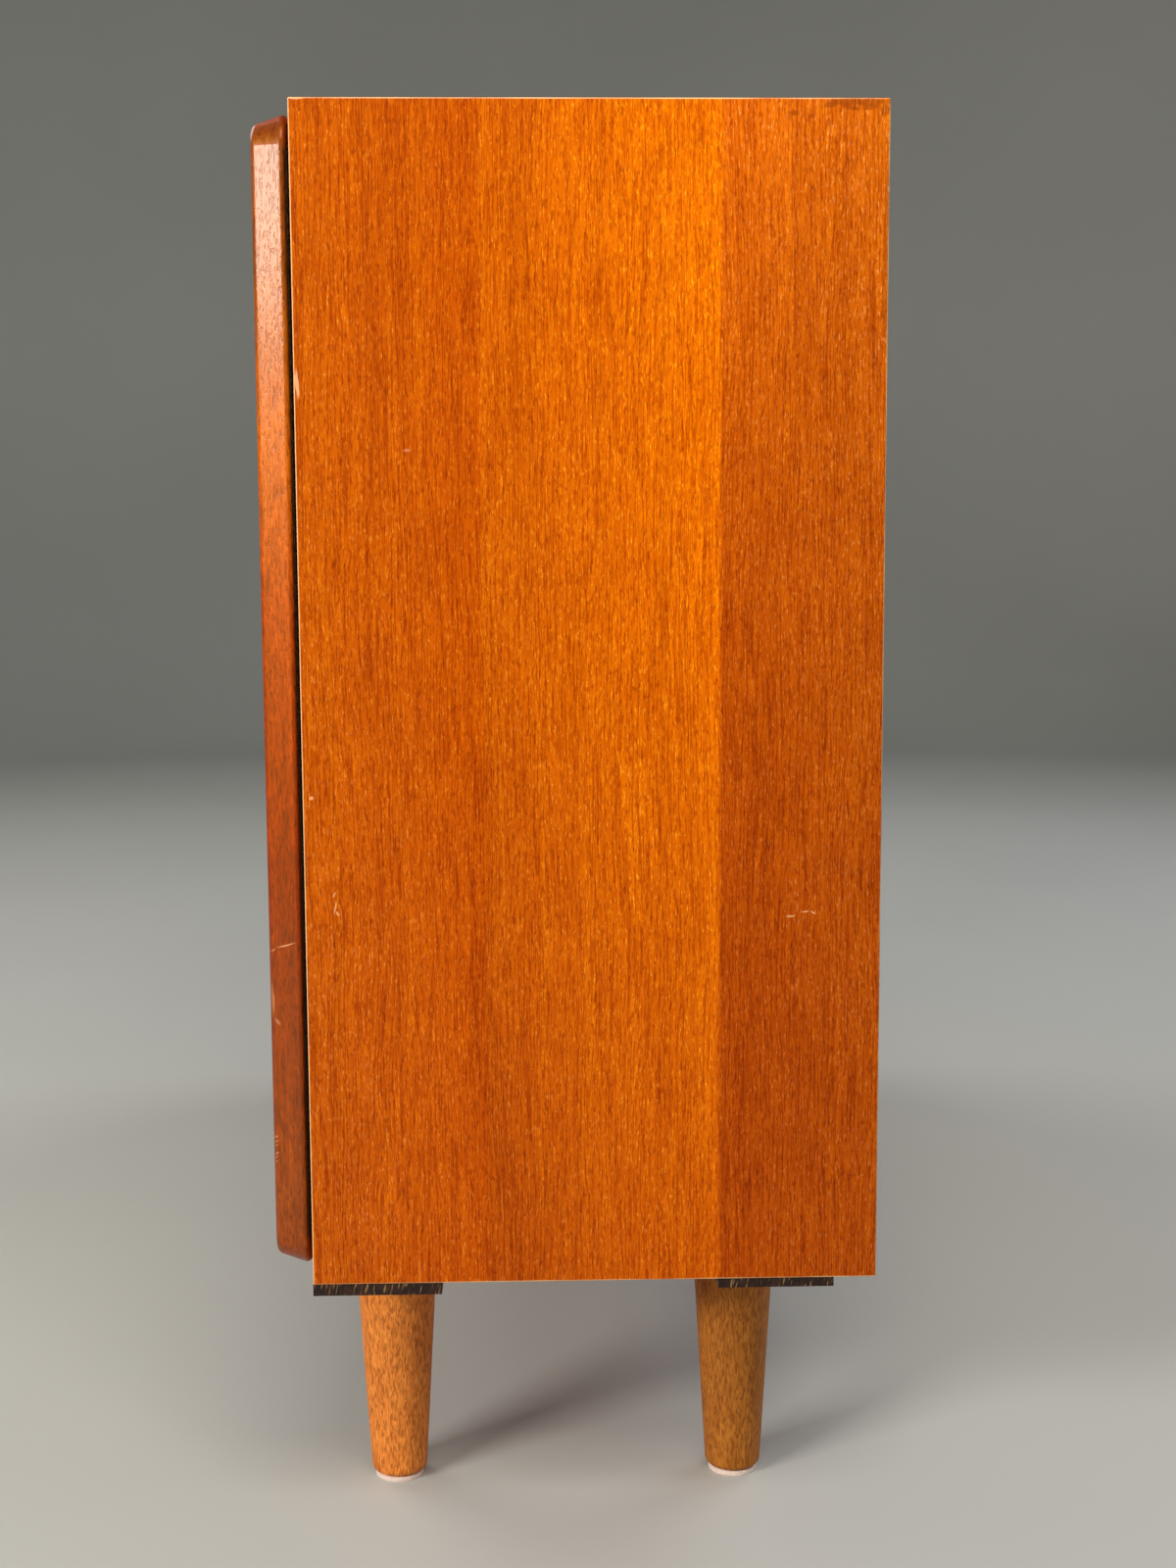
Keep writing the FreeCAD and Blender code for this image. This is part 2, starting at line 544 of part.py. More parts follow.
knob = knob.makeFillet(KNOB_ROUNDING, head_rims)
knob.rotate(V(0, 0, 0), V(1, 0, 0), 90)
knob.translate(V(knob_x, door_front, knob_z))
knob_screw, knob_hole = screw_and_hole(
    V(knob_x, door_back, knob_z), FORWARD, DOOR_THICKNESS + KNOB_SCREW_GRIP,
    SCREW_DIAMETER, SCREW_HEAD_DIAMETER,
)
knob = cut_all(knob, [knob_hole])
strike = box(
    catch_x - STRIKE_LENGTH / 2, catch_x + STRIKE_LENGTH / 2, door_back, strike_face,
    magnet_middle - STRIKE_HEIGHT / 2, magnet_middle + STRIKE_HEIGHT / 2,
)
strike_points = [V(catch_x + side * STRIKE_SCREW_SPACING / 2, strike_face, magnet_middle) for side in (-1, 1)]
strike_screws, strike_holes = screw_row(
    strike_points, FORWARD, SMALL_SCREW_LENGTH, SMALL_SCREW_DIAMETER, SMALL_SCREW_HEAD_DIAMETER
)
strike = cut_all(strike, strike_holes)
tongue_back = door_back - (DOOR_THICKNESS - DOOR_TONGUE_THICKNESS) / 2
tongue_in = (DOOR_MEMBER_WIDTH - GLASS_REBATE + DOOR_BEVEL / 2) / 2
door_tongues = []
for sx, sz in CORNERS:
    tongue_x = door_outer - tongue_in if sx > 0 else door_inner + tongue_in
    tongue_z = door_top - tongue_in if sz > 0 else door_bottom + tongue_in
    door_tongues.append(corner_tongue(
        sx, sz, tongue_x, tongue_z, DOOR_TONGUE_SIZE, DOOR_TONGUE_SIZE,
        tongue_back - DOOR_TONGUE_THICKNESS, tongue_back,
    ))
frame = cut_all(frame, [rebate, knob_hole] + strike_holes + door_tongues + door_leaf_holes)

# Both doors: the frame parted at its mitres, the glass and its beads
member_names = {"right": "hinge_stile", "left": "meeting_stile", "top": "top_rail", "bottom": "bottom_rail"}
member_blanks = mitred_sides(
    door_inner, door_outer, door_bottom, door_top, DOOR_MEMBER_WIDTH, door_front, door_back
)
door = {name: [frame.common(member_blanks[side]).Solids[0]] for side, name in member_names.items()}
glass_back = glass_front + GLASS_THICKNESS
door["glass"] = [box(
    rebate_x0 + GLASS_CLEARANCE, rebate_x1 - GLASS_CLEARANCE, glass_front, glass_back,
    rebate_z0 + GLASS_CLEARANCE, rebate_z1 - GLASS_CLEARANCE,
)]
beads = mitred_sides(rebate_x0, rebate_x1, rebate_z0, rebate_z1, GLASS_REBATE, glass_back, door_back)
door["glazing_beads"] = list(beads.values())
door["knob"] = [knob]
door["knob_screw"] = [knob_screw]
door["hinge_leaf"] = [door_leaf]
door["hinge_leaf_screws"] = door_leaf_screws
door["strike_plate"] = [strike]
door["strike_screws"] = strike_screws
door["frame_tongues"] = door_tongues
for name, solids in door.items():
    save("right_" + name, solids)
    save("left_" + name, [mirrored(s) for s in solids])
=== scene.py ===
# %% [markdown]
# A teak bookcase with glass doors.
#
# The bookcase is already built, piece by piece, as a construction model. This lesson gives it its looks:
# wood that has been sliced, turned, stained and lacquered, and glass, brass and felt. The construction is
# loaded first and is never moved, so every size that is needed later can be read from it instead of being
# typed in again.

# %% Load the construction
import math
from collections import namedtuple

import bmesh
import bpy
from mathutils import Euler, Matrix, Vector, noise


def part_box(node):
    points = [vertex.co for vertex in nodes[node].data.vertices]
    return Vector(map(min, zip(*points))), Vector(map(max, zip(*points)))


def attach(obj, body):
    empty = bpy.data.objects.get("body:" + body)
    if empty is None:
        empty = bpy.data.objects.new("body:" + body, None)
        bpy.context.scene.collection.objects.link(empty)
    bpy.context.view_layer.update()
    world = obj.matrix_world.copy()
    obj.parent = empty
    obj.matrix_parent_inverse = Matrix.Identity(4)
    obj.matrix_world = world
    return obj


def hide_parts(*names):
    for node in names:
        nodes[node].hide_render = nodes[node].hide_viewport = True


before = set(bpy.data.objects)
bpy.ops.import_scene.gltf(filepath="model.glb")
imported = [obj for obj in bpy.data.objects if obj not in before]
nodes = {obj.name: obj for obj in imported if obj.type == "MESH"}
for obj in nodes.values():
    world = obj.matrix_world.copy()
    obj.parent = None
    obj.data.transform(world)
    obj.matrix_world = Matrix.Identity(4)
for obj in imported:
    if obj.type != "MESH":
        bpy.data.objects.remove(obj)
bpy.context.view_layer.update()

MM = 0.001

# %% [markdown]
# Wear gathers on the outer edges of the case, a painted highlight runs along its front edges, and the
# veneer is laid out from its front edge, so the planes of the case are worth a name each. They come from
# the box of its right-hand panel, because the case is as wide on the left as on the right.

# %% Planes of the case
panel_low, panel_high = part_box("right_side_panel")
case_right, case_front, case_back = panel_high.x, panel_low.y, panel_high.y
case_bottom, case_top = panel_low.z, panel_high.z
case_low = Vector((-case_right, case_front, case_bottom))
case_high = Vector((case_right, case_back, case_top))
case_middle = (case_low + case_high) / 2
print("case from", [round(v / MM) for v in case_low], "to", [round(v / MM) for v in case_high], "mm")

# %% [markdown]
# Two helpers carry every material. Colours are given as sRGB hex values, but a shader works with
# light, so one function turns them to linear. The other adds a node: it sets the node's properties, fills
# or links its inputs and hands back one output, ready to be linked on.

# %% Colours and nodes
RGBA = 2  # the output of a Mix node that holds its colour
A, B = 6, 7  # and its two colour inputs


def to_linear(code):
    """An sRGB hex colour as linear red, green and blue, with an alpha of 1."""
    channels = [int(code[i:i + 2], 16) / 255 for i in (0, 2, 4)]
    return [c / 12.92 if c <= 0.04045 else ((c + 0.055) / 1.055) ** 2.4 for c in channels] + [1.0]


def add(tree, kind, links=None, out=0, stops=(), **settings):
    """Adds a node to a tree and returns one output. Stops are a ramp's places and colours or tints."""
    node = tree.nodes.new(kind)
    for name, value in settings.items():
        setattr(node, name, value)
    for place, value in (links or {}).items():
        if isinstance(value, bpy.types.NodeSocket):
            tree.links.new(value, node.inputs[place])
        else:
            node.inputs[place].default_value = value
    for number, (place, tone) in enumerate(stops):
        elements = node.color_ramp.elements
        element = elements[number] if number < 2 else elements.new(place)
        element.position = place
        element.color = to_linear(tone) if isinstance(tone, str) else [*tone, 1.0]
    return node.outputs[out] if node.outputs else node


def new_material(name):
    """An empty material, its node tree and the point that its patterns read, in metres."""
    material = bpy.data.materials.new(name)
    material.use_nodes = True
    tree = material.node_tree
    tree.nodes.clear()
    return material, tree, add(tree, "ShaderNodeTexCoord", out="Object")


def surface(tree, sockets):
    """Ends a material in one Principled shader."""
    shader = add(tree, "ShaderNodeBsdfPrincipled", sockets)
    add(tree, "ShaderNodeOutputMaterial", {"Surface": shader})


print("helpers ready; mid grey is", round(to_linear("808080")[0], 3), "in linear light")

# %% [markdown]
# Wood could be one stretched noise with a colour ramp, but then every mark has the same shape. Real wood
# shows several kinds of mark at once: broad bands, thin growth lines, short dark pores and pale flecks
# where a filled pore catches the light. So a wood here is a ground colour and a list of marks. Each mark
# has its own width and length in millimetres, and is a noise stretched along the grain, of which only the
# peaks count. It multiplies the colour under it by a tint for red, green and blue, so that the same marks
# suit a light board and a dark one. The grain also sways: slowly over the whole board and quickly from
# fibre to fibre. Each sway is a noise that pushes the point sideways before the marks are read.

# %% The marks in wood
Mark = namedtuple("Mark", "tint wide long start full cover depth")  # fades in from start to full
Sway = namedtuple("Sway", "wide long push")
MARK_SHIFT = (3.7, 5.9, 8.3)  # noise cells from one mark to the next, so that no two fall together


def grain_scale(grain, wide, long):
    """Noise cells per metre on each axis, for marks so wide and so long, in millimetres."""
    return [1 / (MM * (long if axis == grain else wide)) for axis in "XYZ"]


def grown(tree, point, grain, colour, marks, sways):
    """Lays marks over a colour. Returns the colour, and the height of the surface in millimetres."""
    swayed = point
    for sway in sways:
        scale = grain_scale(grain, sway.wide, sway.long)
        where = add(tree, "ShaderNodeMapping", {"Vector": point, "Scale": scale})
        links = {"Vector": where, "Scale": 1.0, "Detail": 1.0}
        push = add(tree, "ShaderNodeTexNoise", links, out="Color")
        sideways = [0.0 if axis == grain else sway.push * MM for axis in "XYZ"]
        links = {0: push, 1: sideways, 2: swayed}
        swayed = add(tree, "ShaderNodeVectorMath", links, operation="MULTIPLY_ADD")
    height = None
    for number, mark in enumerate(marks):
        offset = [shift * (number + 1) for shift in MARK_SHIFT]
        scale = grain_scale(grain, mark.wide, mark.long)
        where = add(tree, "ShaderNodeMapping", {"Vector": swayed, "Location": offset, "Scale": scale})
        peaks = add(tree, "ShaderNodeTexNoise", {"Vector": where, "Scale": 1.0, "Detail": 1.5})
        share = add(
            tree, "ShaderNodeMapRange",
            {"Value": peaks, "From Min": mark.start, "From Max": mark.full, "To Max": mark.cover},
            interpolation_type="SMOOTHSTEP",
        )
        links = {"Factor": share, A: colour, B: [*mark.tint, 1.0]}
        colour = add(
            tree, "ShaderNodeMix", links, out=RGBA, data_type="RGBA", blend_type="MULTIPLY",
        )
        if mark.depth:
            links = {0: share, 1: -mark.depth, 2: height or 0.0}
            height = add(tree, "ShaderNodeMath", links, operation="MULTIPLY_ADD")
    return colour, height


def dented(tree, height):
    """A normal from a height in millimetres."""
    return add(tree, "ShaderNodeBump", {"Height": height, "Strength": 1.0, "Distance": MM})


def uneven(tree, point, low, high, size):
    """A roughness that drifts between two values over patches of a size in millimetres."""
    where = add(tree, "ShaderNodeMapping", {"Vector": point, "Scale": [1 / (size * MM)] * 3})
    drift = add(tree, "ShaderNodeTexNoise", {"Vector": where, "Scale": 1.0, "Detail": 3.0})
    return add(tree, "ShaderNodeMapRange", {
        "Value": drift, "From Min": 0.3, "From Max": 0.7, "To Min": low, "To Max": high,
    })


print("a mark 1 mm wide and 8 mm long:", [round(s) for s in grain_scale("Z", 1.0, 8.0)], "cells per metre")

# %% [markdown]
# The case is chipboard under sliced teak veneer. Three leaves of it lie side by side across the depth,
# with a joint between one and the next. One drawing of a whole side could show that too, but it would fit
# only this size of case. So each leaf is described by itself: where it starts behind the front edge, its
# tone along its front and its back edge at the foot of the case, the tint that it takes on towards its
# head, and how late on the way up that tint comes. The tint is painted light: it gives the upper part of a
# leaf the colour that the light from above and a sheen give it, so the second and third leaves grow
# brighter upwards, and the third also paler. Ramps across the depth hold the tones, the tints and the
# lateness of the leaves, and the height decides how much of the tint is laid over the tone.

# %% Leaves of veneer
# the head tint of a leaf is painted light: the colour that light from above and a sheen give its upper part
Leaf = namedtuple("Leaf", "start front back head late")
LEAVES = (
    Leaf(0.0, "C0590A", "BD5103", (1.02, 1.00, 0.30), 0.7),
    Leaf(102.3, "B14B05", "CD5E03", (1.36, 1.60, 0.34), 0.7),
    Leaf(237.0, "AD4603", "AD4B06", (1.76, 2.36, 2.08), 3.0),
)
JOINT_BLUR = 0.6  # half the width of the soft edge at a joint, in millimetres


def leaves(tree, point):
    """The ground colour of the veneer: the tones of each leaf, with painted light tinted more and more over
    them towards the head.
    """
    y = add(tree, "ShaderNodeSeparateXYZ", {"Vector": point}, out="Y")
    z = y.node.outputs["Z"]
    share = add(tree, "ShaderNodeMapRange", {"Value": y, "From Min": case_front, "From Max": case_back})
    rise = add(tree, "ShaderNodeMapRange", {"Value": z, "From Min": case_bottom, "From Max": case_top})
    depth = (case_back - case_front) / MM
    ends = [leaf.start for leaf in LEAVES[1:]] + [depth]
    tones, tints, powers = [], [], []
    for leaf, end in zip(LEAVES, ends):
        for place, tone in ((leaf.start + JOINT_BLUR, leaf.front), (end - JOINT_BLUR, leaf.back)):
            tones.append((place / depth, tone))
            tints.append((place / depth, leaf.head))
            powers.append((place / depth, [leaf.late] * 3))
    ground = add(tree, "ShaderNodeValToRGB", {"Fac": share}, stops=tones)
    # the head tints, painted light over the upper part of each leaf
    head = add(tree, "ShaderNodeValToRGB", {"Fac": share}, stops=tints)
    late = add(tree, "ShaderNodeValToRGB", {"Fac": share}, stops=powers)
    rise = add(tree, "ShaderNodeMath", {0: rise, 1: late}, operation="POWER")
    links = {"Factor": rise, A: ground, B: head}
    return add(tree, "ShaderNodeMix", links, out=RGBA, data_type="RGBA", blend_type="MULTIPLY")


print("veneer:", len(LEAVES), "leaves over a depth of", round((case_back - case_front) / MM), "mm")

# %% [markdown]
# The lacquer has worn off along the outer edges of the case and shows pale wood. A point of the case is on
# an edge when it is near two of the box's faces at once, so the second smallest of its three distances to
# the faces tells how far the nearest edge is. The front edges are pale all along: there the line is partly
# wear and partly a painted highlight, the glint that the lamps leave on the rounded front arris. The other
# edges are pale only here and there.

# %% Worn edges of the case, with a painted highlight along the front
WORN_WIDTH = 0.8  # of the pale line along an edge, in millimetres
WORN_PATCH = 45.0  # length of a worn stretch
# pale worn wood, and along the front edges also a painted highlight
BARE_TEAK_AND_GLINT = "FFE2A6"


def worn_edges_and_glint(tree, point, colour):
    """Lays pale worn wood over the outer edges of the case, and a painted highlight along the front edges.
    """
    half = (case_high - case_low) / 2
    off = add(tree, "ShaderNodeVectorMath", {0: point, 1: case_middle}, operation="SUBTRACT")
    off = add(tree, "ShaderNodeVectorMath", {0: off}, operation="ABSOLUTE")
    inside = add(tree, "ShaderNodeVectorMath", {0: half, 1: off}, operation="SUBTRACT")
    x = add(tree, "ShaderNodeSeparateXYZ", {"Vector": inside}, out="X")
    y, z = x.node.outputs["Y"], x.node.outputs["Z"]
    low = add(tree, "ShaderNodeMath", {0: x, 1: y}, operation="MINIMUM")
    high = add(tree, "ShaderNodeMath", {0: x, 1: y}, operation="MAXIMUM")
    other = add(tree, "ShaderNodeMath", {0: high, 1: z}, operation="MINIMUM")
    edge = add(tree, "ShaderNodeMath", {0: low, 1: other}, operation="MAXIMUM")
    near = add(tree, "ShaderNodeMapRange", {
        "Value": edge, "From Max": WORN_WIDTH * MM, "To Min": 1.0, "To Max": 0.0,
    })
    where = add(tree, "ShaderNodeMapping", {"Vector": point, "Scale": [1 / (WORN_PATCH * MM)] * 3})
    patch = add(tree, "ShaderNodeTexNoise", {"Vector": where, "Scale": 1.0, "Detail": 4.0})
    patch = add(tree, "ShaderNodeMapRange", {
        "Value": patch, "From Min": 0.35, "From Max": 0.6, "To Min": 0.25,
    })
    # the front edges are pale all along, as wear and as a painted highlight of the arris
    depth = add(tree, "ShaderNodeSeparateXYZ", {"Vector": point}, out="Y")
    front = add(tree, "ShaderNodeMapRange", {
        "Value": depth, "From Min": case_front, "From Max": case_front + 2 * WORN_WIDTH * MM,
        "To Min": 1.6, "To Max": 0.0,
    })
    bare_and_glint = add(tree, "ShaderNodeMath", {0: patch, 1: front}, operation="MAXIMUM")
    share = add(tree, "ShaderNodeMath", {0: near, 1: bare_and_glint}, operation="MULTIPLY", use_clamp=True)
    links = {"Factor": share, A: colour, B: to_linear(BARE_TEAK_AND_GLINT)}
    return add(tree, "ShaderNodeMix", links, out=RGBA, data_type="RGBA")


print("worn edges:", WORN_WIDTH, "mm wide, in stretches of", WORN_PATCH, "mm")

# %% [markdown]
# Years of use left a few small marks on the right-hand side and on the edge of the door before it:
# scratches, specks and a stained patch near the top. They could be painted on a picture, but a picture has
# to be unwrapped and stored. Each is a soft ellipse here, with its place behind the front edge and above
# the foot of the case, its size and its turn. A Mapping node of type Texture moves, turns and stretches
# space so that the ellipse becomes a unit ball, and a spherical gradient draws that ball. A noise shakes
# the point first, so that no stroke is straight.

# %% Small marks of use
Stroke = namedtuple("Stroke", "colour back up long wide turn cover")
PALE, STAIN = "F2B27C", "8E3B08"
STROKES = (
    Stroke(PALE, 17.4, 223.0, 9.0, 0.9, 80.0, 0.8),
    Stroke(PALE, 18.6, 219.5, 4.0, 1.2, 120.0, 0.7),
    Stroke(PALE, 17.0, 230.5, 4.5, 0.9, 60.0, 0.7),
    Stroke(PALE, 286.5, 218.2, 5.0, 0.9, 8.0, 0.8),
    Stroke(PALE, 291.0, 217.6, 4.0, 0.9, -28.0, 0.8),
    Stroke(PALE, 278.0, 215.7, 6.0, 1.8, 4.0, 0.5),
    Stroke(PALE, 62.0, 480.5, 5.0, 2.0, 0.0, 0.3),
    Stroke(PALE, 5.0, 286.0, 3.0, 2.4, 20.0, 0.7),
    Stroke(PALE, 2.0, 517.0, 2.6, 18.0, 3.0, 0.8),
    Stroke(PALE, 3.4, 670.4, 11.0, 2.4, -6.0, 0.8),
    Stroke(PALE, 329.6, 622.0, 2.4, 4.0, 0.0, 0.9),
    Stroke(STAIN, 312.0, 668.6, 44.0, 5.0, 0.0, 0.6),
    Stroke(STAIN, 297.0, 666.8, 11.0, 3.4, 6.0, 0.6),
    Stroke(STAIN, 308.0, 665.4, 12.0, 3.0, -10.0, 0.6),
    Stroke(STAIN, 319.0, 665.8, 11.0, 4.0, 8.0, 0.6),
    Stroke(STAIN, 327.0, 664.0, 7.0, 8.0, 0.0, 0.6),
    Stroke(STAIN, 276.8, 662.4, 7.0, 3.6, 0.0, 0.6),
    Stroke(STAIN, 286.2, 660.8, 4.6, 3.4, 0.0, 0.5),
    Stroke(STAIN, 328.6, 590.0, 5.0, 130.0, 0.0, 0.5),
)
DOOR_STROKES = (
    Stroke(PALE, -12.5, 200.2, 15.0, 1.1, 17.0, 0.7),
    Stroke(PALE, -19.6, 197.0, 5.0, 1.1, 38.0, 0.6),
    Stroke(PALE, -20.6, 86.4, 4.4, 1.1, 42.0, 0.75),
    Stroke(PALE, -20.4, 83.8, 4.2, 1.1, 38.0, 0.65),
    Stroke(PALE, -20.5, 81.2, 3.8, 1.1, 46.0, 0.65),
    Stroke(PALE, -20.2, 76.6, 4.2, 1.2, 30.0, 0.75),
    Stroke(PALE, -20.5, 74.2, 4.0, 1.1, 40.0, 0.65),
    Stroke(PALE, -20.3, 71.6, 3.4, 1.1, 48.0, 0.65),
    Stroke(PALE, -20.6, 168.0, 3.0, 30.0, 0.0, 0.35),
    Stroke(PALE, -18.0, 155.0, 3.0, 7.0, 30.0, 0.3),
)
SHAKE, SHAKE_SIZE = 1.4, 7.0  # how far a stroke strays, and over what length, in millimetres
REACH = 14.0  # how deep a stroke goes, so that it also meets the bevel of the door


def used(tree, point, colour, strokes):
    """Lays strokes over a colour on the right-hand side, or in front of it on the door's edge."""
    if not strokes:
        return colour
    where = add(tree, "ShaderNodeMapping", {"Vector": point, "Scale": [1 / (SHAKE_SIZE * MM)] * 3})
    shake = add(tree, "ShaderNodeTexNoise", {"Vector": where, "Scale": 1.0}, out="Color")
    links = {0: shake, 1: [SHAKE * MM] * 3, 2: point}
    shaken = add(tree, "ShaderNodeVectorMath", links, operation="MULTIPLY_ADD")
    for stroke in strokes:
        place = [case_right, case_front + stroke.back * MM, case_bottom + stroke.up * MM]
        links = {
            "Vector": shaken, "Location": [p + SHAKE * MM / 2 for p in place],
            "Rotation": [math.radians(stroke.turn), 0.0, 0.0],
            "Scale": [REACH * MM, stroke.long * MM / 2, stroke.wide * MM / 2],
        }
        ball = add(tree, "ShaderNodeMapping", links, vector_type="TEXTURE")
        fade = add(tree, "ShaderNodeTexGradient", {"Vector": ball}, out="Fac", gradient_type="SPHERICAL")
        share = add(tree, "ShaderNodeMapRange", {"Value": fade, "From Max": 0.4, "To Max": stroke.cover})
        links = {"Factor": share, A: colour, B: to_linear(stroke.colour)}
        colour = add(tree, "ShaderNodeMix", links, out=RGBA, data_type="RGBA")
    return colour


print(len(STROKES), "strokes on the side and", len(DOOR_STROKES), "on the door's edge")

# %% [markdown]
# Teak veneer, sliced, glued down and lacquered. The eye gets a warm orange with fine brown lines, dark
# pores no longer than a fingernail and pale flecks, under a satin coat. Pores in teak are about 0.3 mm
# wide, which would vanish at this distance, so the lines, pores and flecks are drawn about three times as
# wide as they are. The upright panels keep the satin sheen of the lacquer. The level ones have been wiped
# and rubbed for years, and are duller.

# %% Teak veneer
VENEER_MARKS = (
    Mark((0.80, 0.70, 0.60), 18.0, 500.0, 0.50, 0.75, 0.55, 0.0),
    Mark((1.12, 1.28, 1.00), 9.0, 420.0, 0.54, 0.76, 0.65, 0.0),
    Mark((0.84, 0.74, 0.60), 22.0, 60.0, 0.50, 0.74, 0.40, 0.0),
    Mark((0.80, 0.66, 0.50), 3.2, 70.0, 0.48, 0.66, 0.45, 0.0),
    Mark((0.66, 0.48, 0.40), 0.9, 45.0, 0.47, 0.62, 0.80, 0.0),
    Mark((1.22, 1.50, 1.20), 1.0, 8.0, 0.51, 0.64, 0.68, 0.0),
    Mark((0.60, 0.44, 0.40), 1.0, 5.0, 0.54, 0.64, 0.70, 0.03),
    Mark((1.36, 2.30, 22.0), 0.8, 3.5, 0.59, 0.68, 0.70, 0.0),
)
VENEER_SWAYS = (Sway(40.0, 170.0, 9.0), Sway(4.0, 14.0, 1.2))
Sheen = namedtuple("Sheen", "smooth rough level coat")  # two roughnesses, mirror level, coat weight
SATIN = Sheen(0.34, 0.46, 0.30, 0.03)
RUBBED = Sheen(0.60, 0.72, 0.12, 0.0)
SHEEN_PATCH = 60.0  # over which the sheen drifts, in millimetres
VENEER_SHINE = "FF9A50"  # light that comes back from the fibres


def teak_veneer(name, grain, sheen, strokes=()):
    """Lacquered teak veneer, with the grain along one axis."""
    material, tree, point = new_material(name)
    colour, height = grown(tree, point, grain, leaves(tree, point), VENEER_MARKS, VENEER_SWAYS)
    colour = used(tree, point, colour, strokes)
    colour = worn_edges_and_glint(tree, point, colour)
    surface(tree, {
        "Base Color": colour, "Normal": dented(tree, height),
        "Roughness": uneven(tree, point, sheen.smooth, sheen.rough, SHEEN_PATCH),
        "Specular IOR Level": sheen.level, "Specular Tint": to_linear(VENEER_SHINE),
        "Coat Weight": sheen.coat, "Coat Roughness": 0.16,
    })
    return material


veneer_used = teak_veneer("teak_veneer_lacquered_worn", "Z", SATIN, STROKES)
veneer_upright = teak_veneer("teak_veneer_lacquered_upright", "Z", SATIN)
veneer_level = teak_veneer("teak_veneer_lacquered_rubbed", "X", RUBBED)
for veneer in (veneer_used, veneer_upright, veneer_level):
    print(veneer.name, len(veneer.node_tree.nodes), "nodes")

# %% [markdown]
# The door frames, the shelf lippings and the knobs are solid teak, planed, rounded over and lacquered.
# Solid wood is redder and quieter than the veneer: the eye gets fine short pores and faint bands. Its
# shine has two layers. Light that enters the fibres comes back as a wide orange sheen, and the lacquer on
# top adds a narrow white one. The stiles need the grain upright and the rails need it level, so that the
# mitres show as on a real frame. On the right-hand hinge stile a ramp by height paints light and shade into
# the colour: brightest orange where the sheen of the window lamp fades out below the highlight, darker
# towards the foot, where less light falls, and darker again at the top, under the highlight.

# %% Solid teak
TEAK_MARKS = (
    Mark((0.72, 0.62, 0.50), 9.0, 220.0, 0.48, 0.72, 0.60, 0.0),
    Mark((1.35, 1.50, 1.30), 6.0, 150.0, 0.52, 0.74, 0.50, 0.0),
    Mark((0.62, 0.52, 0.50), 7.0, 16.0, 0.50, 0.72, 0.60, 0.0),
    Mark((1.40, 1.50, 1.20), 4.0, 12.0, 0.50, 0.72, 0.60, 0.0),
    Mark((0.58, 0.48, 0.40), 1.3, 14.0, 0.46, 0.68, 0.70, 0.03),
    Mark((0.45, 0.36, 0.30), 1.0, 5.0, 0.52, 0.66, 0.75, 0.06),
    Mark((1.50, 1.90, 2.00), 1.0, 5.0, 0.56, 0.70, 0.60, 0.0),
)
TEAK_SWAYS = (Sway(30.0, 120.0, 5.0), Sway(3.0, 9.0, 1.2))
TEAK = "8C3202"
TEAK_SHINE = "FFA028"
# painted light and shade on the right-hand hinge stile: brightest where the lamp's sheen fades out, darker
# at the foot and under the highlight at the top
STILE_PAINTED_LIGHT = (  # by the height above the foot of the case, in millimetres
    (60.0, "863402"), (230.0, "832401"), (400.0, "A43A02"),
    (490.0, "C05A04"), (580.0, "883D04"), (645.0, "7C360A"),
)


def painted_light_by_height(tree, point, tones):
    """Painted light and shade on an upright piece: a ground colour by the height above the foot of the
    case.
    """
    z = add(tree, "ShaderNodeSeparateXYZ", {"Vector": point}, out="Z")
    rise = add(tree, "ShaderNodeMapRange", {"Value": z, "From Min": case_bottom, "From Max": case_top})
    height = (case_top - case_bottom) / MM
    return add(tree, "ShaderNodeValToRGB", {"Fac": rise}, stops=[(up / height, code) for up, code in tones])


def solid_teak(name, grain, tones=(), strokes=()):
    """Lacquered solid teak, with the grain along one axis."""
    material, tree, point = new_material(name)
    ground = painted_light_by_height(tree, point, tones) if tones else to_linear(TEAK)
    colour, height = grown(tree, point, grain, ground, TEAK_MARKS, TEAK_SWAYS)
    colour = used(tree, point, colour, strokes)
    pores = dented(tree, height)
    surface(tree, {
        "Base Color": colour, "Roughness": uneven(tree, point, 0.44, 0.54, 40.0), "Normal": pores,
        "Specular IOR Level": 1.0, "Specular Tint": to_linear(TEAK_SHINE),
        "Coat Weight": 0.37, "Coat Roughness": 0.22, "Coat Normal": pores,
    })
    return material


teak_worn_painted_light = solid_teak("teak_solid_lacquered_worn_painted_light", "Z", STILE_PAINTED_LIGHT, DOOR_STROKES)
teak_upright = solid_teak("teak_solid_lacquered_upright", "Z")
teak_level = solid_teak("teak_solid_lacquered_level", "X")
for teak in (teak_worn_painted_light, teak_upright, teak_level):
    print(teak.name, len(teak.node_tree.nodes), "nodes")

# %% [markdown]
# The legs are turned from a paler, open-pored hardwood and only oiled. Turning cuts through the fibres, so
# the eye gets a dense tangle of short dark flecks that lean this way and that. The sway is short here,
# which makes them lean. The rear pair is painted darker and browner than the front pair: that is painted
# shade, for the rear legs stand in shade.

# %% Turned, oiled hardwood
LEG_MARKS = (
    Mark((0.74, 0.66, 0.55), 7.0, 45.0, 0.45, 0.70, 0.60, 0.0),
    Mark((1.22, 1.45, 1.70), 1.3, 7.0, 0.46, 0.66, 0.85, 0.0),
    Mark((0.54, 0.46, 0.34), 1.2, 7.0, 0.46, 0.62, 0.80, 0.06),
)
LEG_SWAYS = (Sway(5.0, 10.0, 4.0),)
# the tone of the front legs, and the darker tone of the rear legs, which is painted shade
FRONT_LEGS_TONE, REAR_LEGS_PAINTED_SHADE = "DE8031", "AA641C"


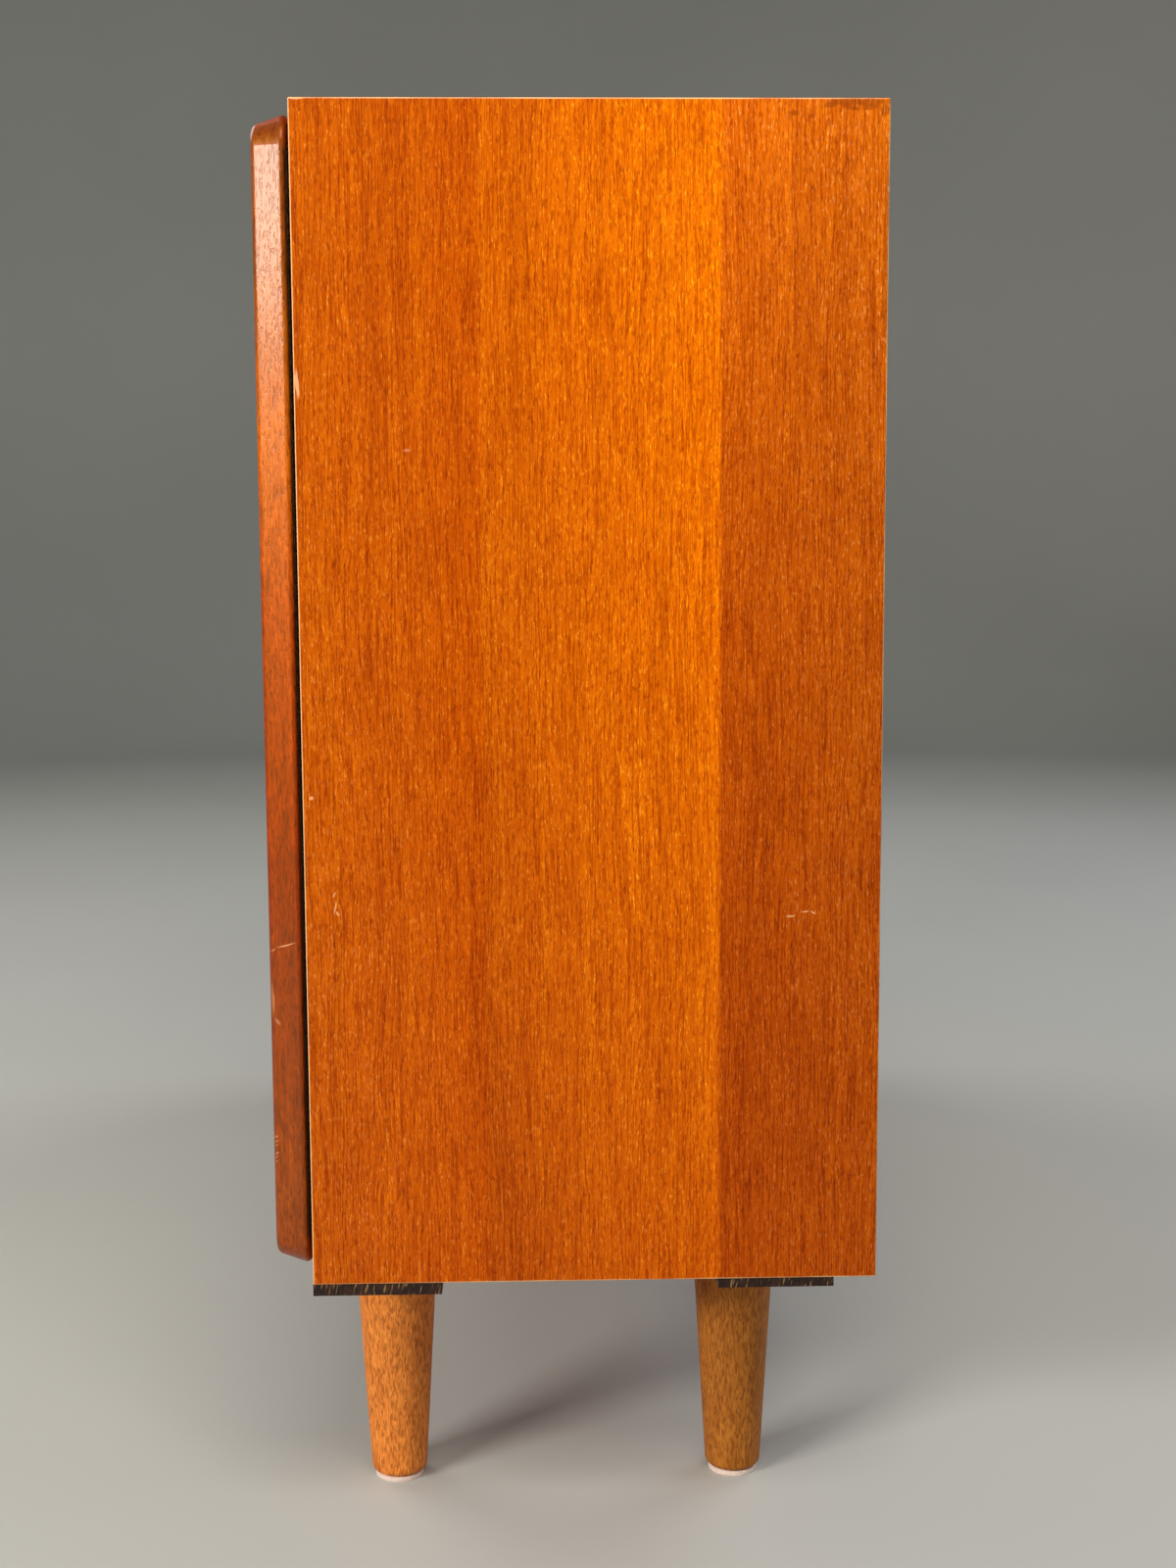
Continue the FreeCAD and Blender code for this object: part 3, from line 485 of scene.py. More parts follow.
def oiled_hardwood(name):
    """Turned and oiled hardwood with the grain upright, and painted shade on the rear legs."""
    material, tree, point = new_material(name)
    y = add(tree, "ShaderNodeSeparateXYZ", {"Vector": point}, out="Y")
    # legs behind the middle of the case take the darker tone, painted shade
    rear = add(tree, "ShaderNodeMath", {0: y, 1: case_middle.y}, operation="GREATER_THAN")
    links = {"Factor": rear, A: to_linear(FRONT_LEGS_TONE), B: to_linear(REAR_LEGS_PAINTED_SHADE)}
    leg_tone_with_painted_shade = add(tree, "ShaderNodeMix", links, out=RGBA, data_type="RGBA")
    colour, height = grown(tree, point, "Z", leg_tone_with_painted_shade, LEG_MARKS, LEG_SWAYS)
    surface(tree, {
        "Base Color": colour, "Normal": dented(tree, height),
        "Roughness": uneven(tree, point, 0.48, 0.60, 20.0), "Specular IOR Level": 0.2,
    })
    return material


leg_wood = oiled_hardwood("hardwood_turned_oiled")
print("legs:", len(leg_wood.node_tree.nodes), "nodes")

# %% [markdown]
# Two battens under the case carry the legs. They are sawn softwood, stained almost black. The saw left
# slanting scratches on their ends, where the stain has rubbed off, and the eye gets those as pale dashes
# on a dark ground.

# %% Sawn, stained battens
BATTEN_MARKS = (
    Mark((2.40, 2.30, 2.00), 6.0, 140.0, 0.45, 0.70, 0.80, 0.0),
    Mark((0.50, 0.50, 0.60), 1.6, 60.0, 0.50, 0.68, 0.70, 0.05),
)
BATTEN_SWAYS = (Sway(40.0, 200.0, 4.0),)
BLACK_STAIN, RUBBED_WOOD = "22130D", "A07A4C"
SAW_LEAN = 12.0  # degrees from upright
SAW_WIDE, SAW_LONG = 1.3, 9.0  # of a scratch, in millimetres


def stained_batten(name):
    """Sawn and stained softwood with rubbed saw scratches."""
    material, tree, point = new_material(name)
    colour, height = grown(tree, point, "X", to_linear(BLACK_STAIN), BATTEN_MARKS, BATTEN_SWAYS)
    turn = [math.radians(SAW_LEAN), 0.0, 0.0]
    lean = add(tree, "ShaderNodeMapping", {"Vector": point, "Rotation": turn})
    scale = grain_scale("Z", SAW_WIDE, SAW_LONG)
    where = add(tree, "ShaderNodeMapping", {"Vector": lean, "Scale": scale})
    scratch = add(tree, "ShaderNodeTexNoise", {"Vector": where, "Scale": 1.0, "Detail": 1.0})
    share = add(tree, "ShaderNodeMapRange", {
        "Value": scratch, "From Min": 0.60, "From Max": 0.70, "To Max": 0.65,
    })
    links = {"Factor": share, A: colour, B: to_linear(RUBBED_WOOD)}
    colour = add(tree, "ShaderNodeMix", links, out=RGBA, data_type="RGBA")
    surface(tree, {
        "Base Color": colour, "Normal": dented(tree, height),
        "Roughness": uneven(tree, point, 0.55, 0.75, 30.0), "Specular IOR Level": 0.25,
    })
    return material


batten_wood = stained_batten("softwood_sawn_stained")
print("battens:", len(batten_wood.node_tree.nodes), "nodes")

# %% [markdown]
# The back is a thin sheet of lacquered plywood, and the loose tongues in the mitres are raw beech. Plywood
# shows wide soft figure from the rotary cut, beech a close scatter of tiny darker dashes.

# %% Plywood and beech
PLY_MARKS = (
    Mark((0.77, 0.66, 0.56), 22.0, 420.0, 0.46, 0.70, 0.55, 0.0),
    Mark((1.26, 1.47, 1.70), 16.0, 300.0, 0.52, 0.74, 0.45, 0.0),
    Mark((0.52, 0.41, 0.29), 1.3, 40.0, 0.55, 0.70, 0.45, 0.02),
)
BEECH_MARKS = (
    Mark((0.78, 0.68, 0.53), 8.0, 120.0, 0.46, 0.70, 0.45, 0.0),
    Mark((0.52, 0.38, 0.26), 0.8, 3.5, 0.58, 0.68, 0.60, 0.02),
)
PLAIN_SWAYS = (Sway(60.0, 300.0, 12.0),)
ROUGH_DRIFT = 0.06  # how far the roughness strays to either side


def plain_wood(name, code, marks, roughness):
    """A light wood with level grain."""
    material, tree, point = new_material(name)
    colour, height = grown(tree, point, "X", to_linear(code), marks, PLAIN_SWAYS)
    smooth, rough = roughness - ROUGH_DRIFT, roughness + ROUGH_DRIFT
    surface(tree, {
        "Base Color": colour, "Normal": dented(tree, height),
        "Roughness": uneven(tree, point, smooth, rough, 50.0),
    })
    return material


plywood = plain_wood("birch_plywood_lacquered", "BE8C50", PLY_MARKS, 0.48)
beech = plain_wood("beech_planed_raw", "CFA577", BEECH_MARKS, 0.65)
print("plywood and beech:", len(plywood.node_tree.nodes), "and", len(beech.node_tree.nodes), "nodes")

# %% [markdown]
# The shelf pins are brass that has dulled with handling. The screws, bolts and catch plates are steel with
# a thin zinc plating, and the long hinges are steel that was bronzed to a dark brown. A metal keeps the
# shader's own index of refraction, and its base colour is the colour of its reflection. The eye reads age
# from patches: tarnish is a darker colour and a rougher surface in the same places.

# %% Brass and steel
def aged_metal(name, bright, dull, patch, smooth, rough):
    """A metal whose polish has dulled in patches, whose size is in millimetres."""
    material, tree, point = new_material(name)
    where = add(tree, "ShaderNodeMapping", {"Vector": point, "Scale": [1 / (patch * MM)] * 3})
    links = {"Vector": where, "Scale": 1.0, "Detail": 4.0, "Roughness": 0.6}
    cloud = add(tree, "ShaderNodeTexNoise", links)
    share = add(tree, "ShaderNodeMapRange", {"Value": cloud, "From Min": 0.35, "From Max": 0.65})
    links = {"Factor": share, A: to_linear(bright), B: to_linear(dull)}
    colour = add(tree, "ShaderNodeMix", links, out=RGBA, data_type="RGBA")
    roughness = add(tree, "ShaderNodeMapRange", {"Value": share, "To Min": smooth, "To Max": rough})
    surface(tree, {"Base Color": colour, "Metallic": 1.0, "Roughness": roughness})
    return material


brass = aged_metal("brass_drawn_tarnished", "D2A24A", "8E6A30", 5.0, 0.24, 0.46)
steel = aged_metal("steel_zinc_plated", "C4C4BE", "8F908C", 3.0, 0.28, 0.48)
bronzed = aged_metal("steel_rolled_bronzed", "2A1A10", "160E09", 4.0, 0.50, 0.70)
magnet = aged_metal("steel_pole_plates_bare", "8C8A86", "5E5C59", 2.5, 0.35, 0.55)
print("metals:", ", ".join(metal.name for metal in (brass, steel, bronzed, magnet)))

# %% [markdown]
# The catch housings are moulded brown plastic. The mould was spark-eroded, so the eye gets a fine even
# grit and a dull sheen. Grit that fine would not show, so it is drawn at half a millimetre.

# %% Moulded plastic
GRIT, GRIT_DEEP = 0.5, 0.05  # size and depth of a grain, in millimetres
PLASTIC_LOW, PLASTIC_HIGH = "3A2416", "5A3B26"


def moulded_plastic(name):
    """Brown moulded plastic with a gritty skin."""
    material, tree, point = new_material(name)
    where = add(tree, "ShaderNodeMapping", {"Vector": point, "Scale": [1 / (GRIT * MM)] * 3})
    grit = add(tree, "ShaderNodeTexNoise", {"Vector": where, "Scale": 1.0, "Detail": 2.0})
    links = {"Factor": grit, A: to_linear(PLASTIC_LOW), B: to_linear(PLASTIC_HIGH)}
    colour = add(tree, "ShaderNodeMix", links, out=RGBA, data_type="RGBA")
    height = add(tree, "ShaderNodeMath", {0: grit, 1: GRIT_DEEP}, operation="MULTIPLY")
    surface(tree, {
        "Base Color": colour, "Normal": dented(tree, height),
        "Roughness": uneven(tree, point, 0.42, 0.54, 4.0),
    })
    return material


plastic = moulded_plastic("abs_moulded_brown")
print("plastic:", len(plastic.node_tree.nodes), "nodes")

# %% [markdown]
# The panes are float glass. A pane mirrors a little and lets the rest through, with a faint green cast.
# Light that has to bend through glass reaches the shelves slowly in a path tracer, so for shadow rays the
# pane is simply clear: the shelves are then lit as they are behind a real window. Smears from wiping make
# the reflection a little uneven.

# %% Float glass
def float_glass(name):
    """Clear glass that lets shadow rays pass."""
    material, tree, point = new_material(name)
    pane = add(tree, "ShaderNodeBsdfPrincipled", {
        "Base Color": to_linear("F3FAF6"), "Roughness": uneven(tree, point, 0.0, 0.03, 90.0),
        "IOR": 1.52, "Transmission Weight": 1.0,
    })
    clear = add(tree, "ShaderNodeBsdfTransparent", {"Color": to_linear("EEF6F1")})
    shadow = add(tree, "ShaderNodeLightPath", out="Is Shadow Ray")
    both = add(tree, "ShaderNodeMixShader", {0: shadow, 1: pane, 2: clear})
    add(tree, "ShaderNodeOutputMaterial", {"Surface": both})
    return material


glass = float_glass("glass_float_clear")
print("glass:", len(glass.node_tree.nodes), "nodes")

# %% [markdown]
# Under each leg is a disc of pressed wool felt. Felt has no weave: the eye gets a soft, cloudy off-white
# with short fibres that lie in all directions, and a little dirt between them. Sheen gives the bright rim
# that fuzz has.

# %% Pressed wool felt
FIBRE_WIDE, FIBRE_LONG = 0.5, 2.5  # in millimetres; real fibres are a twentieth as wide
FIBRE_DEEP = 0.6
FELT_TONES = ((0.08, "C4A696"), (0.22, "EDD3C4"), (0.42, "FFF2E8"))


def pressed_felt(name):
    """Off-white pressed felt."""
    material, tree, point = new_material(name)
    layers = []
    for axis in "XY":
        scale = grain_scale(axis, FIBRE_WIDE, FIBRE_LONG)
        where = add(tree, "ShaderNodeMapping", {"Vector": point, "Scale": scale})
        links = {"Vector": where, "Scale": 1.0, "Detail": 2.0, "Distortion": 1.2}
        layers.append(add(tree, "ShaderNodeTexNoise", links))
    fibres = add(tree, "ShaderNodeMath", {0: layers[0], 1: layers[1]}, operation="MULTIPLY")
    colour = add(tree, "ShaderNodeValToRGB", {"Fac": fibres}, stops=FELT_TONES)
    height = add(tree, "ShaderNodeMath", {0: fibres, 1: FIBRE_DEEP}, operation="MULTIPLY")
    surface(tree, {
        "Base Color": colour, "Normal": dented(tree, height),
        "Roughness": uneven(tree, point, 0.90, 0.98, 5.0), "Specular IOR Level": 0.15,
        "Sheen Weight": 0.4, "Sheen Roughness": 0.6,
    })
    return material


felt = pressed_felt("wool_felt_pressed")
print("felt:", len(felt.node_tree.nodes), "nodes")

# %% [markdown]
# Each piece of the construction now gets its finish. A list of name endings and finishes is read from the
# top, and the first ending that fits a piece decides, so the particular ones stand before the general
# ones. What fits none is a stile, a bead or a knob, and is solid teak.

# %% Dress the construction
FINISHES = (
    ("right_side_panel", veneer_used), ("right_hinge_stile", teak_worn_painted_light),
    ("side_panel", veneer_upright), ("divider", veneer_upright),
    ("top_panel", veneer_level), ("bottom_panel", veneer_level), ("_shelf", veneer_level),
    ("lipping", teak_level), ("top_rail", teak_level), ("bottom_rail", teak_level),
    ("back_panel", plywood), ("tongues", beech), ("_batten", batten_wood), ("_leg", leg_wood),
    ("felt_glides", felt), ("glass", glass), ("shelf_pins", brass),
    ("hinge_screws", bronzed), ("leaf_screws", bronzed), ("hinge_leaves", bronzed),
    ("hinge_leaf", bronzed), ("hinge_pins", bronzed), ("magnets", magnet), ("housings", plastic),
    ("bolts", steel), ("screws", steel), ("screw", steel), ("strike_plate", steel),
)


def dress(piece, material):
    """Puts one material on a whole piece."""
    piece.data.materials.clear()
    piece.data.materials.append(material)
    for face in piece.data.polygons:
        face.material_index = 0


for name, node in nodes.items():
    finish = next((material for ending, material in FINISHES if name.endswith(ending)), teak_upright)
    dress(node, finish)
finishes_used = {node.data.materials[0].name for node in nodes.values()}
print(len(nodes), "pieces dressed in", len(finishes_used), "finishes")

# %% [markdown]
# A new piece stands for one or more pieces of the construction, takes their place and moves with the same
# body. Its sizes are read from the solids that it stands for. A construction mesh is loose triangles, so a
# copy is merged first, and each group of points that hang together is one solid.

# %% Helpers for new pieces
SOLID_GAP = 1e-6  # points closer than this, in metres, are one point


def solids_of(name):
    """The lowest and highest corner of each separate solid of a node."""
    shell = bmesh.new()
    shell.from_mesh(nodes[name].data)
    bmesh.ops.remove_doubles(shell, verts=shell.verts, dist=SOLID_GAP)
    boxes, left = [], set(shell.verts)
    while left:
        group, queue = set(), [left.pop()]
        while queue:
            vertex = queue.pop()
            group.add(vertex)
            near = {edge.other_vert(vertex) for edge in vertex.link_edges} & left
            left -= near
            queue += near
        low = Vector([min(v.co[i] for v in group) for i in range(3)])
        high = Vector([max(v.co[i] for v in group) for i in range(3)])
        boxes.append((low, high))
    shell.free()
    return sorted(boxes, key=lambda box: tuple(box[0]))


def placed(name, data):
    """A new object at the origin of the scene."""
    item = bpy.data.objects.new(name, data)
    bpy.context.scene.collection.objects.link(item)
    return item


def mesh_of(name, shell):
    """Turns a bmesh whose faces may point either way into a mesh whose faces point outwards."""
    bmesh.ops.recalc_face_normals(shell, faces=shell.faces)
    mesh = bpy.data.meshes.new(name)
    shell.to_mesh(mesh)
    shell.free()
    return mesh


def finished(piece, body, material, stood_for):
    """Dresses a piece, smooths its round faces, and says what it rides on and stands for."""
    dress(piece, material)
    for face in piece.data.polygons:
        face.use_smooth = True
    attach(piece, body)
    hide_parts(stood_for)


print("felt glides:", len(solids_of("felt_glides")), "solids to replace")

# %% [markdown]
# The felt glides are soft, so a plain disc would look wrong. Each is turned here as a ring profile with a
# bulging rim, and every point is pushed in or out a little by a noise, as felt that was punched out and
# pressed by a heavy case.

# %% Felt glides
FELT_SIDES = 72
FELT_BULGE = 0.35 * MM  # how much the rim's middle stands out before the noise
FELT_ROUGH = 0.25 * MM  # most that the noise moves a point
FELT_CLUMP = 1.6 * MM  # size of a bump in the rim
FLAT_RINGS = (0.0, 0.35, 0.65, 0.88)  # shares of the flat face's radius
RIM_STEPS = 7


def felt_profile(radius, thickness):
    """Radius and height of each ring of a disc, from its lower middle to its upper middle."""
    inner = radius - FELT_BULGE - FELT_ROUGH
    flat = [inner * share for share in FLAT_RINGS]
    rim = []
    for step in range(RIM_STEPS):
        angle = math.pi * (step / (RIM_STEPS - 1) - 0.5)
        rim.append((inner + FELT_BULGE * math.cos(angle), thickness * (0.5 + 0.5 * math.sin(angle))))
    return [(r, 0.0) for r in flat] + rim + [(r, thickness) for r in reversed(flat)]


felt_shell = bmesh.new()
for low, high in solids_of("felt_glides"):
    centre = Vector(((low.x + high.x) / 2, (low.y + high.y) / 2, low.z))
    rings = []
    for radius, height in felt_profile((high.x - low.x) / 2, high.z - low.z):
        ring = []
        for side in range(FELT_SIDES if radius else 1):
            angle = math.tau * side / FELT_SIDES
            point = centre + Vector((radius * math.cos(angle), radius * math.sin(angle), height))
            push = noise.noise(point / FELT_CLUMP) * FELT_ROUGH
            outward = Vector((math.cos(angle), math.sin(angle), 0.0)) * push
            ring.append(felt_shell.verts.new(point + outward if radius else point))
        rings.append(ring)
    for lower, upper in zip(rings, rings[1:]):
        for side in range(FELT_SIDES):
            after = (side + 1) % FELT_SIDES
            corners = [lower[side % len(lower)], lower[after % len(lower)]]
            corners += [upper[after % len(upper)], upper[side % len(upper)]]
            felt_shell.faces.new(list(dict.fromkeys(corners)))
felt_pads = placed("felt_pads", mesh_of("felt_pads", felt_shell))
finished(felt_pads, "carcass", felt, "felt_glides")
print("felt pads:", len(felt_pads.data.polygons), "faces")

# %% [markdown]
# Slotted screws repeat all over the case, so Geometry Nodes make them. The tree builds one screw from
# named sizes: a cylinder of three sections is pulled in to a countersunk head, a shank and a point, and a
# block cuts the slot. The screw is then set on every point of a small mesh, turned to face the way that
# the point says, and spun by a random angle, because no two slots line up on real furniture. The seed is
# fixed, so each run gives the same screws.

# %% The screw tree
SCREW_SIDES = 28
SCREW_RINGS = 4
BLUNT = 0.1  # radius of a screw's tip, as a share of the shank's


def screw_tree():
    """Slotted countersunk screws on points, which face along the attribute 'facing'."""
    tree = bpy.data.node_groups.new("slotted_screws", "GeometryNodeTree")
    face = tree.interface
    face.new_socket("Geometry", in_out="INPUT", socket_type="NodeSocketGeometry")
    for name in ("Head Diameter", "Shank Diameter", "Length", "Slot Width", "Slot Depth"):
        face.new_socket(name, in_out="INPUT", socket_type="NodeSocketFloat")
    face.new_socket("Seed", in_out="INPUT", socket_type="NodeSocketInt")
    face.new_socket("Finish", in_out="INPUT", socket_type="NodeSocketMaterial")
    face.new_socket("Geometry", in_out="OUTPUT", socket_type="NodeSocketGeometry")
    given = add(tree, "NodeGroupInput").node.outputs

    # The radius and the level of each ring, from the face of the head down to the tip
    head = add(tree, "ShaderNodeMath", {0: given["Head Diameter"], 1: 0.5}, operation="MULTIPLY")
    shank = add(tree, "ShaderNodeMath", {0: given["Shank Diameter"], 1: 0.5}, operation="MULTIPLY")
    sink = add(tree, "ShaderNodeMath", {0: shank, 1: head}, operation="SUBTRACT")
    tip = add(tree, "ShaderNodeMath", {0: shank, 1: given["Length"]}, operation="SUBTRACT")
    end = add(tree, "ShaderNodeMath", {0: given["Length"], 1: -1.0}, operation="MULTIPLY")
    point = add(tree, "ShaderNodeMath", {0: shank, 1: BLUNT}, operation="MULTIPLY")

    # A cylinder whose rings are moved to those radii and levels
    blank = add(tree, "GeometryNodeMeshCylinder", {
        "Vertices": SCREW_SIDES, "Side Segments": SCREW_RINGS - 1, "Radius": 1.0, "Depth": 2.0,
    }, out="Mesh")
    here = add(tree, "GeometryNodeInputPosition")
    x = add(tree, "ShaderNodeSeparateXYZ", {"Vector": here})
    y, z = x.node.outputs["Y"], x.node.outputs["Z"]
    ring = add(tree, "ShaderNodeMapRange", {
        "Value": z, "From Min": 1.0, "From Max": -1.0, "To Max": SCREW_RINGS - 1.0,
    })
    ring = add(tree, "FunctionNodeFloatToInt", {0: ring}, rounding_mode="ROUND")
    radius = add(tree, "GeometryNodeIndexSwitch", {"Index": ring, 1: head, 2: shank}, data_type="FLOAT")
    level = add(tree, "GeometryNodeIndexSwitch", {"Index": ring, 1: 0.0, 2: sink}, data_type="FLOAT")
    for switch, values in ((radius.node, (shank, point)), (level.node, (tip, end))):
        for value in values:
            switch.index_switch_items.new()
            tree.links.new(value, switch.inputs[len(switch.index_switch_items)])
    x = add(tree, "ShaderNodeMath", {0: x, 1: radius}, operation="MULTIPLY")
    y = add(tree, "ShaderNodeMath", {0: y, 1: radius}, operation="MULTIPLY")
    place = add(tree, "ShaderNodeCombineXYZ", {"X": x, "Y": y, "Z": level})
    body = add(tree, "GeometryNodeSetPosition", {"Geometry": blank, "Position": place})

    # The slot, cut by a block that is half above the head
    deep = add(tree, "ShaderNodeMath", {0: given["Slot Depth"], 1: 2.0}, operation="MULTIPLY")
    links = {"X": given["Length"], "Y": given["Slot Width"], "Z": deep}
    block = add(tree, "ShaderNodeCombineXYZ", links)
    slot = add(tree, "GeometryNodeMeshCube", {"Size": block})
    screw = add(tree, "GeometryNodeMeshBoolean", {0: body, 1: slot}, operation="DIFFERENCE", solver="EXACT")

    # One screw on each point, turned and spun
    facing = add(tree, "GeometryNodeInputNamedAttribute", {"Name": "facing"}, data_type="FLOAT_VECTOR")
    turn = add(tree, "FunctionNodeAlignRotationToVector", {"Vector": facing}, axis="Z")
    links = {3: math.tau, "Seed": given["Seed"]}
    spin = add(tree, "FunctionNodeRandomValue", links, out=1, data_type="FLOAT")
    spin = add(tree, "FunctionNodeAxisAngleToRotation", {"Axis": (0.0, 0.0, 1.0), "Angle": spin})
    turn = add(tree, "FunctionNodeRotateRotation", {0: turn, 1: spin}, rotation_space="LOCAL")
    links = {"Points": given["Geometry"], "Instance": screw, "Rotation": turn}
    set_out = add(tree, "GeometryNodeInstanceOnPoints", links)
    real = add(tree, "GeometryNodeRealizeInstances", {"Geometry": set_out})
    dressed = add(tree, "GeometryNodeSetMaterial", {"Geometry": real, "Material": given["Finish"]})
    add(tree, "NodeGroupOutput", {0: dressed})
    return tree


SCREWS = screw_tree()
print("screw tree:", len(SCREWS.nodes), "nodes")

# %% [markdown]
# A row of screws takes its points and sizes from the solids that it stands for: the head is at the end of
# the solid's box that faces out, and the box's other sides are as wide as the head. The tree's inputs are
# set by their identifiers before the first evaluation. The result is then turned into a plain mesh,
# because the export keeps no modifiers.

# %% Set the screws
SLOT_WIDTH, SLOT_DEPTH = 0.8 * MM, 0.8 * MM
HEAD_TO_SHANK = 2.0  # a countersunk head is twice as wide as its shank
CRISP_EDGE = 30.0  # edges that bend by more than this, in degrees, stay sharp
DOWN, FORWARD, BACKWARD = Vector((0, 0, -1)), Vector((0, -1, 0)), Vector((0, 1, 0))
SCREW_ROWS = (
    ("back_screws", "carcass", BACKWARD, "steel", steel),
    ("batten_screws", "carcass", DOWN, "steel", steel),
    ("hinge_screws", "carcass", FORWARD, "bronzed_steel", bronzed),
    ("catch_screws", "carcass", DOWN, "steel", steel),
    ("right_hinge_leaf_screws", "right_door", BACKWARD, "bronzed_steel", bronzed),
    ("left_hinge_leaf_screws", "left_door", BACKWARD, "bronzed_steel", bronzed),
    ("right_strike_screws", "right_door", BACKWARD, "steel", steel),
    ("left_strike_screws", "left_door", BACKWARD, "steel", steel),
    ("right_knob_screw", "right_door", BACKWARD, "steel", steel),
    ("left_knob_screw", "left_door", BACKWARD, "steel", steel),
)


def with_nodes(name, points, facing, tree, inputs):
    """Runs a node tree on points that all face one way, and returns the result as a plain object."""
    mesh = bpy.data.meshes.new(name + "_points")
    mesh.from_pydata(points, [], [])
    directions = mesh.attributes.new("facing", "FLOAT_VECTOR", "POINT")
    for item in directions.data:
        item.vector = facing
    holder = placed(name + "_points", mesh)
    modifier = holder.modifiers.new(name, "NODES")
    modifier.node_group = tree
    for socket in tree.interface.items_tree:
        if socket.in_out == "INPUT" and socket.name in inputs:
            modifier[socket.identifier] = inputs[socket.name]
    graph = bpy.context.evaluated_depsgraph_get()
    made = bpy.data.meshes.new_from_object(holder.evaluated_get(graph))
    bpy.data.objects.remove(holder)
    return placed(name, made)


for seed, (name, body, facing, slot, material) in enumerate(SCREW_ROWS):
    heads = []
    for low, high in solids_of(name):
        size = high - low
        heads.append((low + high) / 2 + Vector([f * s / 2 for f, s in zip(facing, size)]))
    head = min(size)
    piece = with_nodes("slotted_" + name, heads, facing, SCREWS, {
        "Head Diameter": head, "Shank Diameter": head / HEAD_TO_SHANK, "Length": abs(size.dot(facing)),
        "Slot Width": SLOT_WIDTH, "Slot Depth": SLOT_DEPTH, "Seed": seed, "Finish": material,
    })
    finished(piece, body, material, name)
    piece.data.set_sharp_from_angle(angle=math.radians(CRISP_EDGE))
    print(piece.name, len(heads), "screws,", len(piece.data.polygons), "faces")

# %% [markdown]
# The picture needs a plain pale floor that runs up into a backdrop without a corner, soft light, and a
# camera where the photograph was taken. The floor is a profile swept round the bookcase, so that it looks
# the same from every side.

# %% Floor and backdrop
FLOOR_RADIUS, BEND_RADIUS, WALL_TOP = 4.2, 1.4, 4.5  # metres
BEND_STEPS, SWEEP_STEPS = 12, 64
CLOUDS = 1.3  # clouds in the paint per metre
PAINT_LOW, PAINT_HIGH = "B4B6B2", "BEC0BC"


def painted_floor(name):
    """Pale matt paint with faint clouds."""
    material, tree, point = new_material(name)
    where = add(tree, "ShaderNodeMapping", {"Vector": point, "Scale": [CLOUDS] * 3})
    cloud = add(tree, "ShaderNodeTexNoise", {"Vector": where, "Scale": 1.0, "Detail": 3.0})
    links = {"Factor": cloud, A: to_linear(PAINT_LOW), B: to_linear(PAINT_HIGH)}
    colour = add(tree, "ShaderNodeMix", links, out=RGBA, data_type="RGBA")
    surface(tree, {"Base Color": colour, "Roughness": 0.6, "Specular IOR Level": 0.3})
    return material


profile = [(0.0, 0.0), (FLOOR_RADIUS, 0.0)]
for step in range(1, BEND_STEPS + 1):
    angle = math.pi / 2 * step / BEND_STEPS
    profile.append((FLOOR_RADIUS + BEND_RADIUS * math.sin(angle), BEND_RADIUS * (1 - math.cos(angle))))
profile.append((FLOOR_RADIUS + BEND_RADIUS, WALL_TOP))
sweep = bmesh.new()
rings = []
for radius, height in profile:
    angles = [math.tau * side / SWEEP_STEPS for side in range(SWEEP_STEPS if radius else 1)]
    rings.append([sweep.verts.new((radius * math.cos(a), radius * math.sin(a), height)) for a in angles])
for lower, upper in zip(rings, rings[1:]):
    for side in range(SWEEP_STEPS):
        after = (side + 1) % SWEEP_STEPS
        corners = [lower[side % len(lower)], upper[side], upper[after], lower[after % len(lower)]]
        sweep.faces.new(list(dict.fromkeys(corners)))
studio_floor = placed("studio_floor", mesh_of("studio_floor", sweep))
studio_floor.data.shade_smooth()
dress(studio_floor, painted_floor("studio_paint_matt"))
print("floor:", len(studio_floor.data.polygons), "faces")

# %% [markdown]
# The main light is a wide, low panel in front of the bookcase and to its right, like a row of windows. It
# hangs higher than the case, so that its reflection covers only the upper part of the door's edge. A panel
# overhead brightens the upper part of the side, three weaker ones fill the other sides, and a dim even sky
# keeps the shadows open. Together they light a surface about as bright as its colour is written.

